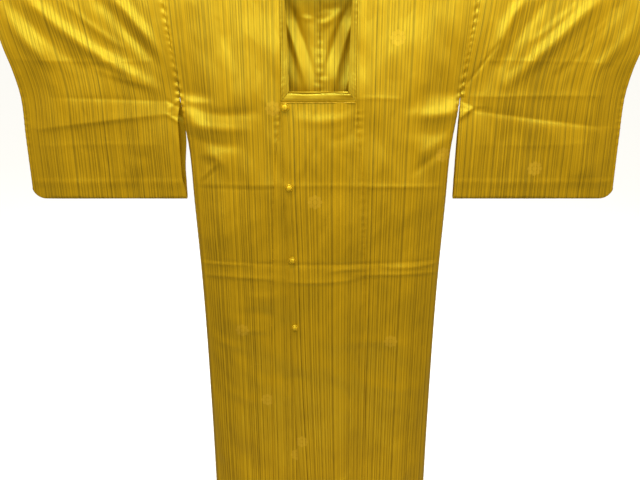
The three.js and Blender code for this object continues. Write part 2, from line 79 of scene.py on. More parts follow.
studio = bpy.data.worlds.new("white_studio")
studio.use_nodes = True
tree = studio.node_tree
lit = tree.nodes["Background"]
lit.inputs["Color"].default_value = (1, 0.93, 0.7, 1)
lit.inputs["Strength"].default_value = 0.26
seen = tree.nodes.new("ShaderNodeBackground")
seen.inputs["Color"].default_value = (0.98, 0.98, 0.98, 1)
choice = tree.nodes.new("ShaderNodeMixShader")
rays = tree.nodes.new("ShaderNodeLightPath")
tree.links.new(rays.outputs["Is Camera Ray"], choice.inputs[0])
tree.links.new(lit.outputs[0], choice.inputs[1])
tree.links.new(seen.outputs[0], choice.inputs[2])
tree.links.new(choice.outputs[0], tree.nodes["World Output"].inputs["Surface"])
bpy.context.scene.world = studio


def new_material(name):
    material = bpy.data.materials.new(name)
    material.use_nodes = True
    return material, material.node_tree, material.node_tree.nodes["Principled BSDF"]


bpy.ops.object.select_all(action="DESELECT")
bpy.ops.mesh.primitive_plane_add(size=60, location=(0, 0, -1.52))
floor = bpy.context.object
floor.name = "studio_floor"
floor_paint, _, shader = new_material("pale_floor")
shader.inputs["Base Color"].default_value = (0.9, 0.9, 0.9, 1)
shader.inputs["Roughness"].default_value = 0.9
floor.data.materials.append(floor_paint)
floor.visible_diffuse = floor.visible_glossy = False  # the cloth's shade stays as deep as it is

# ---- The two backs ------------------------------------------------------------------------------
# One narrow bolt width each of thin striped satin, joined down the middle of the back and cut out
# for the neck. Each runs from the shoulder line on the pole to the hem, and sags into the neck.
CLOTH = 0.8
FOLD_RADIUS = 13.5  # middle of the cloth over the pole
QUARTER_ROUND = FOLD_RADIUS * math.pi / 2
SEAM_GAP = 0.4
CLEARANCE = 0.08  # from a seam to each of the panels that it joins
HEM_DROP = 1386
HIP_DROP = 694
UNDERARM_DROP = 233
NECK_SHIFT = -3
NECK_HALF = 80
BACK_NECK_DROP = 22
BELOW_NECK_DROP = 56  # from here up the back's rows follow the neck's curve
NECK_LEAN = 11  # of the back's cloth, forward against the frame
NECK_HOLLOW = 5  # above that

BODY_SECTIONS = (  # drop, half the width, front's depth, back's depth, depth at the edge
    (0, 322, 13.5, 13.5, 13.5),
    (60, 318, 15, 14.5, 12.5),
    (130, 311, 18.5, 17, 10),
    (195, 305, 22.5, 20, 5),
    (233, 302, 25, 22, 1.4),
    (290, 296, 28, 24, 0.9),
    (350, 289, 31, 26, 0.7),
    (462, 286, 34, 30, 0.5),
    (694, 280, 37, 34, 0.5),
    (1020, 279, 40, 39, 0.5),
    (1386, 282, 43, 44, 0.5),
)
HEM_WAVES = ((172, 3.2, 0.4), (97, 1.3, 2.1))  # length, height, phase
UNEVENNESS = (  # length across, length down, height, phase
    (330, 270, 1.5, 0.3),
    (-230, 176, 0.85, 1.9),
    (150, -121, 0.45, 4.0),
    (92, 83, 0.2, 2.2),
    (-51, 240, 0.3, 0.7),
    (38, 160, 0.12, 5.1),
)
# Folds run from one point to another and bend towards the middle one: across and drop of each, then
# the width at which the fold has died away, and its height, below 0 for a trough. A 1 after them says
# that it is a crisp pressed crease, and a last number how many times wider it is above than below.
NECK_FOLDS = (
    (-84, 54, -58, 104, -21, 240, 7, 5.2),
    (-64, 46, -44, 92, -9, 204, 6.4, -5),
    (-44, 44, -30, 80, -12, 120, 9, 2.2),
    (78, 66, 47, 110, 27, 226, 7, 5.2),
    (59, 50, 30, 104, 13, 190, 6.4, -5),
    (40, 78, 26, 100, 12, 128, 9, 2),
    (74, 168, 62, 196, 50, 244, 7, 3.6),
    (2, 54, 20, 56, 40, 50, 7, -2.2),
    (2, 86, 20, 84, 38, 64, 7, 3.4),
    (-36, 72, -26, 78, -16, 74, 5, 2),
    (2, 226, 9, 228, 17, 226, 4, 2.0, 1),
)
BACK_CREASES = (
    (-280, 418, -10, 424, 276, 421, 10, 0.9, 1),
    (-276, 612, 0, 606, 276, 614, 9, -0.8, 1),
    (-270, 655, 20, 648, 276, 660, 11, 0.8, 1),
    (-250, 1010, 0, 1004, 262, 1012, 12, 0.8, 1),
    (286, 252, 245, 262, 190, 262, 12, -2.4),
    (284, 284, 240, 296, 185, 298, 13, 2.8),
    (-286, 258, -245, 266, -196, 262, 12, -2.2),
    (-284, 292, -238, 304, -180, 300, 14, 2.6),
    (-214, 902, -196, 1010, -206, 1120, 20, 2.0),
    (232, 960, 214, 1060, 226, 1190, 18, 1.8),
    (120, 300, 112, 420, 124, 540, 26, 1.6),
)


def smoothstep(x, low, high):
    share = np.clip((x - low) / (high - low), 0, 1)
    return share * share * (3 - 2 * share)


def within(x, low, full, fading, gone):
    """1 from full to fading, and 0 below low and above gone."""
    return smoothstep(x, low, full) * (1 - smoothstep(x, fading, gone))


def read_table(rows, at):
    """Every column of a table after its first, at any value of that, smooth between the rows."""
    rows = np.array(rows, float)
    keys, values = rows[:, 0], rows[:, 1:]
    at = np.clip(np.asarray(at, float), keys[0], keys[-1])
    i = np.clip(np.searchsorted(keys, at, side="right") - 1, 0, len(keys) - 2)
    before = np.where(i > 0, i - 1, i + 1)
    after = np.where(i < len(keys) - 2, i + 2, i)
    step = keys[i + 1] - keys[i]
    a = step / 2 / (keys[i] - keys[before])
    b = step / 2 / (keys[after] - keys[i + 1])
    p = (at - keys[i]) / step
    weights = (
        (before, -a * p**3 + 2 * a * p**2 - a * p),
        (i, (1 + a) * p**3 + (-1.5 - 2 * a) * p**2 + (a - 0.5) * p + 1),
        (i + 1, (-1 - b) * p**3 + (1.5 + b) * p**2 + 0.5 * p),
        (after, b * p**3 - b * p**2),
    )
    found = sum(weight[..., None] * values[row] for row, weight in weights)
    return np.moveaxis(found, -1, 0)


def folded(folds, across, drop):
    """How far folds raise the cloth at points of it."""
    height = np.zeros(np.broadcast(across, drop).shape)
    across, drop = np.broadcast_arrays(across, drop)
    t = np.linspace(0, 1, 201)
    for x0, d0, xb, db, x1, d1, width, rise, *more in folds:
        x = (1 - t) ** 2 * x0 + 2 * t * (1 - t) * xb + t**2 * x1
        d = (1 - t) ** 2 * d0 + 2 * t * (1 - t) * db + t**2 * d1
        crisp, wider = more + [0, 1][len(more) :]
        reach = 3 * width * wider
        near = (across > x.min() - reach) & (across < x.max() + reach)
        near &= (drop > d.min() - reach) & (drop < d.max() + reach)
        if not near.any():
            continue
        away = np.hypot(across[near][:, None] - x, drop[near][:, None] - d)
        closest = away.argmin(1)
        ends = np.sqrt(np.sin(np.pi * (0.06 + 0.88 * t[closest])))
        spread = width * np.where(drop[near] < d[closest], wider, 1)
        power = 1.15 if crisp else 2
        height[near] += rise * ends * np.exp(-((away.min(1) / spread) ** power))
    return height


def uneven(across, drop, shift):
    """The slight waviness of cloth that hangs free."""
    waves = 0
    side = across + 30 * np.sin(drop / 97 + shift) + 12 * np.sin(drop / 41 + 2 * shift)
    down = drop + 26 * np.sin(across / 71 + 1.7 * shift) + 9 * np.sin(across / 29)
    for along_x, along_z, height, phase in UNEVENNESS:
        waves = waves + height * np.sin(2 * np.pi * (side / along_x + down / along_z) + phase + shift)
    return waves * smoothstep(drop, 20, 140)


def puckers(length, distance, height=0.7, reach=7):
    """Small uneven gathers beside a row of stitches."""
    wave = np.sin(length / 2.6 + 1.9 * np.sin(length / 23)) * (0.65 + 0.35 * np.sin(length / 41 + 1))
    return height * wave * np.exp(-((distance / reach) ** 2))


def body_cloth(is_front, across, length, out=0.0):
    """Points of the body's cloth in mm: across, and the length along it from the pole's top."""
    across, length, out = np.broadcast_arrays(np.asarray(across, float), length, out)
    forward = -1 if is_front else 1
    drop = np.maximum(length - QUARTER_ROUND, 0)
    half, front, back, edge = read_table(BODY_SECTIONS, drop)
    share = np.minimum(1, np.abs(across) / (half - SEAM_GAP / 2))
    full = front if is_front else back
    easing = 1 - smoothstep(share, 0.6, 1)
    turning = np.cbrt(np.maximum(0, 1 - share**3))
    turned = smoothstep(drop, UNDERARM_DROP - 12, UNDERARM_DROP + 40)
    depth = edge + (full - edge) * (easing + (turning - easing) * turned)
    grown = smoothstep(drop, 420, HEM_DROP) * (1 - smoothstep(share, 0.75, 1))
    for wave, height, phase in HEM_WAVES:
        place = across if is_front else across + 60
        depth = depth + grown * height * np.sin(2 * np.pi * place / wave + phase)
    inside = 1 - smoothstep(share, 0.93, 1)  # creases die away at the side seam
    if is_front:
        depth = depth + folded(UNDERARM_FOLDS, across, drop)
        depth = depth + (folded(FRONT_CREASES, across, drop) + uneven(across, drop, 0)) * inside
    else:
        depth = depth - folded(NECK_FOLDS, across, drop) * smoothstep(drop, 25, 60)
        leaning = NECK_LEAN * within(drop, 105, 225, 240, 345)
        leaning = leaning - NECK_HOLLOW * within(drop, 36, 80, 105, 225)
        depth = depth - leaning * (1 - smoothstep(np.abs(across), 60, 130))
        depth = depth + (folded(BACK_CREASES, across, drop) + uneven(across, drop, 2)) * inside
    angle = np.minimum(length, QUARTER_ROUND) / FOLD_RADIUS
    over = length < QUARTER_ROUND
    depth = np.where(over, (FOLD_RADIUS + out) * np.sin(angle), depth + out)
    high = np.where(over, (FOLD_RADIUS + out) * np.cos(angle), -drop)
    return np.stack([across, forward * depth, high], -1)


def bolt_across(across, drop, shift):
    """Where a point lies across the bolt, in m: the stripes lean a little with the armhole."""
    half = read_table(BODY_SECTIONS, drop)[0]
    lean = 0.4 * (np.abs(across) / half) ** 2.2 * (half - 283)
    return (across - np.sign(across) * lean + shift) * 0.001


def from_flower(across, drop, flowers):
    """The way from the nearest woven flower to each point of the cloth, in m."""
    places = np.array(flowers, float)
    away_x = across[..., None] - places[:, 0]
    away_d = drop[..., None] - places[:, 1]
    nearest = np.hypot(away_x, away_d).argmin(-1)[..., None]
    away = [np.take_along_axis(a, nearest, -1)[..., 0] for a in (away_x, -away_d)]
    return np.stack(away, -1) * 0.001


def give_maps(piece, bolt, flowers):
    """UV maps from each point's place on the bolt and its way from a flower."""
    corner = np.empty(len(piece.data.loops), int)
    piece.data.loops.foreach_get("vertex_index", corner)
    piece.data.uv_layers[0].name = "bolt"
    piece.data.uv_layers[0].data.foreach_set("uv", bolt[corner].ravel())
    piece.data.uv_layers.new(name="flower").data.foreach_set("uv", flowers[corner].ravel())


def cloth_piece(
    name, points, bolt, flowers, flip=False, cut_away=None, thickness=CLOTH, closes=False
):
    """A piece of cloth from rows of points in mm, with its place on the bolt as its UV map."""
    if flip:  # so that its faces look outward
        points, bolt, flowers = points[:, ::-1], bolt[:, ::-1], flowers[:, ::-1]
    rows, columns = points.shape[:2]
    bpy.ops.object.select_all(action="DESELECT")
    bpy.ops.mesh.primitive_grid_add(x_subdivisions=columns - 1, y_subdivisions=rows - 1, size=2)
    cloth = bpy.context.object
    cloth.name = cloth.data.name = name
    flat = np.empty(rows * columns * 3)
    cloth.data.vertices.foreach_get("co", flat)
    flat = flat.reshape(-1, 3)
    column = np.rint((flat[:, 0] + 1) / 2 * (columns - 1)).astype(int)
    row = np.rint((flat[:, 1] + 1) / 2 * (rows - 1)).astype(int)
    cloth.data.vertices.foreach_set("co", (points[row, column] * 0.001).ravel())
    give_maps(cloth, bolt[row, column], flowers[row, column])
    bpy.ops.object.mode_set(mode="EDIT")
    if cut_away is not None:
        bpy.ops.mesh.select_mode(type="FACE")
        bpy.ops.mesh.select_all(action="DESELECT")
        bpy.ops.object.mode_set(mode="OBJECT")
        for face in cloth.data.polygons:
            cells = [(row[v], column[v]) for v in face.vertices]
            face.select = bool(cut_away(min(c[0] for c in cells), min(c[1] for c in cells)))
        bpy.ops.object.mode_set(mode="EDIT")
        bpy.ops.mesh.delete(type="FACE")
        bpy.ops.mesh.select_mode(type="VERT")
    if closes:
        bpy.ops.mesh.select_all(action="SELECT")
        bpy.ops.mesh.remove_doubles(threshold=0.00001)
    bpy.ops.object.mode_set(mode="OBJECT")
    wall = cloth.modifiers.new("wall", "SOLIDIFY")
    wall.thickness = thickness * 0.001
    wall.offset = 0
    bpy.ops.object.modifier_apply(modifier=wall.name)
    bpy.ops.object.shade_smooth_by_angle(angle=math.radians(50))
    return cloth


def feed(tree, node, inputs):
    """Gives each of a node's sockets its value, a link or a constant."""
    for key, value in inputs.items():
        if isinstance(value, bpy.types.NodeSocket):
            tree.links.new(value, node.inputs[key])
        else:
            node.inputs[key].default_value = value


def add_node(tree, kind, inputs=None, **settings):
    node = tree.nodes.new(kind)
    for key, value in settings.items():
        setattr(node, key, value)
    feed(tree, node, inputs or {})
    return node


def calculate(tree, operation, *values):
    return add_node(tree, "ShaderNodeMath", dict(enumerate(values)), operation=operation).outputs[0]


def remap(tree, value, low, high, to_low=0.0, to_high=1.0):
    inputs = {"Value": value, "From Min": low, "From Max": high, "To Min": to_low, "To Max": to_high}
    return add_node(tree, "ShaderNodeMapRange", inputs, interpolation_type="SMOOTHSTEP").outputs[0]


def noise_along(tree, place, scale):
    """Noise that changes along one line."""
    inputs = {"W": calculate(tree, "MULTIPLY", place, scale), "Scale": 1.0}
    return add_node(tree, "ShaderNodeTexNoise", inputs, noise_dimensions="1D").outputs[0]


def bolt_noise(tree, given, across_scale, along_scale, **settings):
    """Noise over the bolt, with a scale of its own each way."""
    place = {
        "X": calculate(tree, "MULTIPLY", given["Across"], across_scale),
        "Y": calculate(tree, "MULTIPLY", given["Along"], along_scale),
    }
    place = add_node(tree, "ShaderNodeCombineXYZ", place).outputs[0]
    inputs = {"Vector": place, "Scale": 1.0, **settings}
    return add_node(tree, "ShaderNodeTexNoise", inputs).outputs[0]


def mix_colours(tree, share, low, high):
    return add_node(tree, "ShaderNodeMix", {0: share, 6: low, 7: high}, data_type="RGBA").outputs[2]


def new_group(name, inputs, outputs):
    """A shader node group with float sockets, its tree, its inputs and its output node."""
    tree = bpy.data.node_groups.new(name, "ShaderNodeTree")
    for socket in inputs:
        tree.interface.new_socket(socket, in_out="INPUT", socket_type="NodeSocketFloat")
    for socket in outputs:
        tree.interface.new_socket(socket, in_out="OUTPUT", socket_type="NodeSocketFloat")
    given = tree.nodes.new("NodeGroupInput").outputs
    return tree, given, tree.nodes.new("NodeGroupOutput")


# The stripes: bunches of three dark warp threads a centimetre apart, six centimetres from one bunch to
# the next, a few threads of a lost bunch between them, and fine faint threads all over.
DARK_THREADS = 96  # a metre, if no bunch were lost
BUNCHES = 16  # a metre
FINE_THREADS = 168
stripes, given, made = new_group("bolt_stripes", ["Across", "Along"], ["Stripe", "Ground"])


def thread_lines(tree, across, per_metre, spread, narrow, wide, weakest):
    place = calculate(tree, "MULTIPLY", across, per_metre)
    inputs = {"W": place, "Scale": 1.0, "Randomness": spread}
    cell = add_node(tree, "ShaderNodeTexVoronoi", inputs, voronoi_dimensions="1D")
    line = remap(tree, cell.outputs["Distance"], narrow, wide, 1.0, 0.0)
    chance = add_node(tree, "ShaderNodeSeparateColor", {"Color": cell.outputs["Color"]}).outputs[0]
    return calculate(tree, "MULTIPLY", line, remap(tree, chance, 0.1, 0.8, weakest, 1.0))


wander = noise_along(stripes, given["Across"], 26)
wander = calculate(stripes, "MULTIPLY_ADD", wander, 0.012, given["Across"])
strong = thread_lines(stripes, wander, DARK_THREADS, 0.22, 0.05, 0.16, 0.7)
repeat = calculate(stripes, "FRACT", calculate(stripes, "MULTIPLY", wander, BUNCHES))
from_bunch = calculate(stripes, "ABSOLUTE", calculate(stripes, "SUBTRACT", repeat, 0.5))
bunch = remap(stripes, from_bunch, 0.24, 0.27, 1.0, 0.0)
lost = remap(stripes, noise_along(stripes, wander, 9), 0.45, 0.6, 0.12, 0.8)
strong = calculate(stripes, "MULTIPLY", strong, calculate(stripes, "MAXIMUM", bunch, lost))
fine = thread_lines(stripes, given["Across"], FINE_THREADS, 0.55, 0.09, 0.3, 0.3)
both = calculate(stripes, "MAXIMUM", strong, calculate(stripes, "MULTIPLY", fine, 0.8))
slub = remap(stripes, bolt_noise(stripes, given, 330, 24, Detail=3.0), 0.3, 0.7, 0.66, 1.0)
stripes.links.new(calculate(stripes, "MULTIPLY", both, slub), made.inputs["Stripe"])
ground = remap(stripes, noise_along(stripes, given["Across"], 300), 0.3, 0.7)
stripes.links.new(ground, made.inputs["Ground"])

# A small round flower of eight petals that is woven into the satin here and there.
FLOWER_RADIUS = 0.018
flower, given, made = new_group("woven_flower", ["Right", "Up"], ["Flower"])
squares = [calculate(flower, "MULTIPLY", given[way], given[way]) for way in ("Right", "Up")]
from_middle = calculate(flower, "SQRT", calculate(flower, "ADD", *squares))
from_middle = calculate(flower, "DIVIDE", from_middle, FLOWER_RADIUS)
round_it = calculate(flower, "ARCTAN2", given["Up"], given["Right"])
petal = calculate(flower, "COSINE", calculate(flower, "MULTIPLY", round_it, 4))
petal = calculate(flower, "ABSOLUTE", petal)
rim = calculate(flower, "MULTIPLY_ADD", petal, 0.2, 0.76)
inside_rim = remap(flower, calculate(flower, "SUBTRACT", from_middle, rim), -0.1, 0.02, 1.0, 0.0)
between_petals = remap(flower, petal, 0.04, 0.3, 0.35, 1.0)
from_ring = calculate(flower, "ABSOLUTE", calculate(flower, "SUBTRACT", from_middle, 0.34))
ring = remap(flower, from_ring, 0.02, 0.08, 0.3, 1.0)
shape = calculate(flower, "MULTIPLY", inside_rim, between_petals)
shape = calculate(flower, "MULTIPLY", shape, ring)
flower.links.new(shape, made.inputs["Flower"])

# The satin's face: close ribs along the warp, a fainter weft, and slight unevenness.
WARP_RIBS = 1150  # a metre
WEFT_RIBS = 620
weave, given, made = new_group("satin_face", ["Across", "Along"], ["Height"])
warp = calculate(weave, "MULTIPLY", given["Across"], 2 * math.pi * WARP_RIBS)
warp = calculate(weave, "SINE", warp)
weft = calculate(weave, "MULTIPLY", given["Along"], 2 * math.pi * WEFT_RIBS)
weft = calculate(weave, "SINE", weft)
rib = calculate(weave, "MULTIPLY", bolt_noise(weave, given, 900, 40, Detail=2.0), 1.2)
face = calculate(weave, "MULTIPLY_ADD", warp, 0.25, calculate(weave, "MULTIPLY", weft, 0.1))
weave.links.new(calculate(weave, "ADD", face, rib), made.inputs["Height"])

# Small soft crumples all over a cloth that has been folded and worn, large ones and smaller ones.
crumple, given, made = new_group("soft_crumple", ["Across", "Along"], ["Height"])
large = bolt_noise(crumple, given, 21, 11, Detail=0.0, Distortion=0.7)
small = bolt_noise(crumple, given, 60, 26, Detail=0.0, Distortion=0.7)
large_and_small = calculate(crumple, "MULTIPLY_ADD", small, 0.3, large)
crumple.links.new(large_and_small, made.inputs["Height"])


def striped_satin(name, light, deep, dark):
    """Gold satin with dark thread stripes, from the piece's place on the bolt."""
    satin, tree, shader = new_material(name)
    bolt = add_node(tree, "ShaderNodeUVMap", uv_map="bolt").outputs[0]
    bolt = add_node(tree, "ShaderNodeSeparateXYZ", {"Vector": bolt}).outputs
    place = {"Across": bolt[0], "Along": bolt[1]}
    lines = add_node(tree, "ShaderNodeGroup", place, node_tree=stripes)
    face = add_node(tree, "ShaderNodeGroup", place, node_tree=weave)
    worn = add_node(tree, "ShaderNodeGroup", place, node_tree=crumple)
    away = add_node(tree, "ShaderNodeUVMap", uv_map="flower").outputs[0]
    away = add_node(tree, "ShaderNodeSeparateXYZ", {"Vector": away}).outputs
    away = {"Right": away[0], "Up": away[1]}
    blossom = add_node(tree, "ShaderNodeGroup", away, node_tree=flower)
    ground = mix_colours(tree, lines.outputs["Ground"], (*deep, 1), (*light, 1))
    woven = calculate(tree, "MULTIPLY", blossom.outputs[0], 0.17)
    ground = mix_colours(tree, woven, ground, (0.70, 0.40, 0.05, 1))
    kept = calculate(tree, "MULTIPLY_ADD", blossom.outputs[0], -0.6, 1)
    striped = calculate(tree, "MULTIPLY", lines.outputs["Stripe"], kept)
    height = calculate(tree, "MULTIPLY_ADD", lines.outputs["Stripe"], -0.5, face.outputs["Height"])
    inputs = {"Height": worn.outputs["Height"], "Strength": 1.0, "Distance": 0.0025}
    soft = add_node(tree, "ShaderNodeBump", inputs)
    inputs = {"Height": height, "Strength": 0.6, "Distance": 0.00012, "Normal": soft.outputs[0]}
    look = {
        "Base Color": mix_colours(tree, striped, ground, (*dark, 1)),
        "Roughness": remap(tree, lines.outputs["Stripe"], 0, 1, 0.37, 0.6),
        "Normal": add_node(tree, "ShaderNodeBump", inputs).outputs[0],
        "IOR": 1.8,
        "Specular IOR Level": 0.9,
        "Specular Tint": (0.9, 1, 0.1, 1),
    }
    feed(tree, shader, look)
    return satin


GOLD_LIGHT = (0.505, 0.268, 0.004)
GOLD_DEEP = (0.375, 0.19, 0.002)
OLIVE_BROWN = (0.13, 0.048, 0.0004)
cloth_satin = striped_satin("striped_gold_satin", GOLD_LIGHT, GOLD_DEEP, OLIVE_BROWN)

# An edge that is turned in at a seam: how far from the seam, and the share of the turn's depth.
ROLL = np.array([(0, 1), (0, 0.38), (0.35, 0.13), (1.1, 0.02)])
ROLL_POINTS = len(ROLL)
ROLL_WIDTH = ROLL[-1, 0]
TURN_DEPTH = 3
BACK_FLOWERS = [
    (side * (86, 214, 148)[k % 3], drop)
    for side, first in ((1, 210), (-1, 120))
    for k, drop in enumerate(range(first, HEM_DROP, 178))
]


def panel_lengths(top_drop):
    """Rows down a panel from the hem up, closer together above the hips."""
    low = np.linspace(HEM_DROP, HIP_DROP, 100)
    high = np.linspace(HIP_DROP, top_drop, int((HIP_DROP - top_drop) / 3.3) + 1)
    return np.concatenate([low, high[1:]]) + QUARTER_ROUND


def over_pole():
    """Rows on from a panel's last one, to the top of the pole."""
    return np.linspace(QUARTER_ROUND, 0.2, 9)[1:]


def toward_side(count):
    return np.sin(np.linspace(0, np.pi / 2, count)) ** 0.9


def seam_turn(drop, edge):
    """How far an edge is turned in at a seam: little over the pole and where the layers meet."""
    return np.clip(np.minimum(0.4 + 2.6 * smoothstep(drop, 2, 26), edge - 0.6), 0, TURN_DEPTH)


def above_underarm(drop):
    return 1 - smoothstep(drop, UNDERARM_DROP - 4, UNDERARM_DROP + 8)


def make_back(name, side):
    neck_half = NECK_HALF + side * NECK_SHIFT + SEAM_GAP / 2
    neck_shares = np.sin(np.linspace(0, np.pi / 2, 27))
    outside = toward_side(44)[1:]
    climb = np.linspace(0, 1, 13)[1:, None]
    body = panel_lengths(BELOW_NECK_DROP)
    columns = 2 * ROLL_POINTS + len(neck_shares) - 1 + len(outside)
    neck_row = len(body) + len(climb) - 1
    climbing = np.full(len(climb), BELOW_NECK_DROP + QUARTER_ROUND)
    length = np.repeat(np.concatenate([body, climbing, over_pole()])[:, None], columns, 1)
    top = BACK_NECK_DROP * np.sqrt(1 - neck_shares**2)
    tops = np.concatenate([np.full(ROLL_POINTS, top[0]), top[1:], np.zeros(len(outside) + ROLL_POINTS)])
    rise = (tops[None, :] - BELOW_NECK_DROP) * climb
    length[len(body) : neck_row + 1] = QUARTER_ROUND + BELOW_NECK_DROP + rise
    drop = np.maximum(length - QUARTER_ROUND, 0)
    half, _, _, edge = read_table(BODY_SECTIONS, drop)
    start, end = CLEARANCE, half - CLEARANCE
    across = np.empty_like(length)
    first, last = ROLL_POINTS, columns - ROLL_POINTS
    neck_end = first + len(neck_shares) - 1
    across[:, :first] = start + ROLL[:, 0]
    across[:, first:neck_end] = start + ROLL_WIDTH + neck_shares[1:] * (neck_half - start - ROLL_WIDTH)
    reach = end[:, neck_end:last] - ROLL_WIDTH - neck_half
    across[:, neck_end:last] = neck_half + reach * outside
    across[:, last:] = end[:, last:] - ROLL[::-1, 0]
    turned = np.zeros_like(length)
    turned[:, :first] = ROLL[:, 1] * TURN_DEPTH * smoothstep(drop[:, :first], 24, 40)
    turned[:, last:] = ROLL[::-1, 1] * seam_turn(drop, edge)[:, last:]
    turned[:, last:] *= above_underarm(drop[:, last:])
    gather = puckers(length, end - across) * smoothstep(drop, 20, 60)
    middle_seam = puckers(length + 40, across, 0.4, 6) * smoothstep(drop, 30, 60)
    gather = gather + middle_seam * (1 + 1.6 * (1 - smoothstep(drop, 120, 240)))
    points = body_cloth(False, side * across, length, gather - turned)
    bolt = np.stack([bolt_across(side * across, drop, 37 + 11 * side), length * 0.001], -1)
    flowers = from_flower(side * across, drop, BACK_FLOWERS)

    def in_the_neck(row, column):
        from_centre = columns - 2 - column if side > 0 else column
        return row >= neck_row and from_centre < neck_end - 1

    return cloth_piece(name, points, bolt, flowers, flip=side > 0, cut_away=in_the_neck)


backs = [make_back("back_left_cloth", 1), make_back("back_right_cloth", -1)]
for back, node in zip(backs, ("back_left", "back_right")):
    back.data.materials.append(cloth_satin)
    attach(back, "root")
    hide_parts(node)

# ---- The two fronts -----------------------------------------------------------------------------
# The same lengths of cloth carried on over the shoulder, turned in along the seam that joins each to
# its overlap. Gathers run in from the underarms, and pressed creases cross the cloth where the coat
# was folded away.
FRONT_SEAMS = (  # drop, the overlap's seam, the upper overlap's free edge
    (241, 80, -85),
    (290, 86, -82),
    (425, 99, -80),
    (600, 106, -74),
    (772, 112, -71),
    (1040, 118, -62),
    (1386, 123, -46),
)
NECK_BOTTOM_DROP = 241
UNDERARM_FOLDS = (
    (-290, 240, -262, 246, -236, 243, 7, 1.8),
    (-286, 256, -230, 274, -140, 264, 11, -2.8),
    (-278, 286, -236, 304, -165, 300, 12, 3.6),
    (-276, 318, -232, 340, -180, 336, 13, -3.4),
    (290, 264, 250, 277, 190, 268, 13, 3.2),
    (284, 302, 240, 314, 180, 306, 15, -1.8),
    (278, 322, 246, 334, 214, 362, 12, 1.8),
    (262, 352, 236, 372, 208, 396, 9, -2),
    (-262, 358, -226, 352, -212, 380, 9, 2),
    (-222, 384, -240, 400, -262, 420, 5, -1.4, 1),
)
FRONT_CREASES = (
    (-279, 424, -20, 420, 276, 428, 6, 1.4, 1),
    (-279, 432, -180, 434, -90, 432, 5, -0.8, 1),
    (70, 428, 180, 424, 276, 430, 5, 1.0, 1),
    (-276, 607, 0, 618, 276, 606, 5, -1.8, 1, 0.8),
    (-276, 616, -210, 614, -160, 615, 4, 1.9, 1, 1.6),
    (20, 632, 60, 620, 104, 626, 4, 1.9, 1, 1.6),
    (150, 620, 210, 626, 276, 614, 4, 2.1, 1, 1.6),
    (-276, 646, -190, 645, -110, 650, 4.4, 2.4, 1, 2),
    (-120, 651, 10, 666, 100, 645, 4.4, 2, 1, 2),
    (80, 640, 170, 637, 276, 638, 4.4, 2.4, 1, 2),
    (-190, 790, -160, 783, -128, 788, 5, 2.4, 1, 1.5),
    (-223, 372, -240, 386, -270, 416, 5, 1.6, 1),
    (-127, 230, -114, 244, -97, 264, 6, 1.4, 1),
    (78, 234, 120, 231, 172, 236, 4, 1.2, 1),
    (6, 296, -22, 372, -58, 452, 7, -1.8, 1),
    (20, 486, 6, 540, -14, 590, 8, -1.4, 1),
    (-40, 278, 20, 290, 72, 268, 12, 2.4),
    (20, 318, 50, 330, 78, 296, 13, -1.8),
    (206, 246, 212, 258, 206, 268, 4, 1.5, 1),
    (-268, 994, -246, 1102, -236, 1199, 16, 2.8),
    (252, 930, 232, 1040, 244, 1180, 17, 2.2),
    (-60, 1039, -54, 1140, -40, 1240, 9, 1.8),
    (150, 330, 120, 400, 128, 480, 22, 1.8),
    (-150, 330, -170, 400, -160, 500, 24, 1.8),
    (40, 480, 62, 640, 48, 800, 30, 1.6),
    (-230, 480, -215, 520, -222, 566, 14, 1.8),
    (190, 690, 176, 760, 190, 850, 20, 2.0),
    (-80, 690, -120, 700, -170, 694, 12, 1.6),
    (-200, 742, -120, 730, -100, 760, 14, -2.4),
    (-262, 800, -240, 830, -180, 838, 12, 2.2),
    (60, 820, 130, 806, 200, 826, 16, 2.2),
    (-150, 900, -90, 930, -40, 912, 16, -2.2),
    (120, 930, 180, 960, 240, 950, 16, 2),
    (-240, 950, -200, 990, -140, 984, 14, 2),
)
FRONT_FLOWERS = {
    1: [(171, 814), (161, 111), (270, 357), (168, 1290)],
    -1: [(-187, 784), (-131, 978), (-101, 255), (-232, 1330)],
}


def make_front(name, side):
    lengths = np.concatenate([panel_lengths(0), over_pole()])
    middle = toward_side(68)[1:-1]
    drop = np.maximum(lengths - QUARTER_ROUND, 0)[:, None]
    half, _, _, edge = read_table(BODY_SECTIONS, drop)
    seam = read_table(FRONT_SEAMS, drop)[0]
    seam = np.where(drop > NECK_BOTTOM_DROP, seam + CLEARANCE, NECK_HALF + SEAM_GAP / 2)
    start = seam + side * NECK_SHIFT
    end = half - CLEARANCE
    between = start + ROLL_WIDTH + (end - start - 2 * ROLL_WIDTH) * middle
    across = np.concatenate([start + ROLL[:, 0], between, end - ROLL[::-1, 0]], axis=1)
    length = np.repeat(lengths[:, None], across.shape[1], 1)
    turned = np.zeros_like(across)
    below_neck = smoothstep(drop, NECK_BOTTOM_DROP - 3, NECK_BOTTOM_DROP + 7)
    turned[:, :ROLL_POINTS] = ROLL[:, 1] * TURN_DEPTH * below_neck
    turned[:, -ROLL_POINTS:] = ROLL[::-1, 1] * seam_turn(drop, edge) * above_underarm(drop)
    gather = puckers(length, end - across, 0.9, 6) * smoothstep(drop, 20, 60)
    gather = gather * (1 + within(drop, 150, 225, 236, 300))
    near_neck = smoothstep(drop, 244, 270) * (1.3 - smoothstep(drop, 310, 360))
    gather = gather + puckers(length + 15, across - start, 0.8, 6) * near_neck
    points = body_cloth(True, side * across, length, gather - turned)
    bolt = np.stack([bolt_across(side * across, drop, 53 - 17 * side), length * 0.001], -1)
    flowers = from_flower(side * across, drop + 0 * across, FRONT_FLOWERS[side])
    return cloth_piece(name, points, bolt, flowers, flip=side < 0)


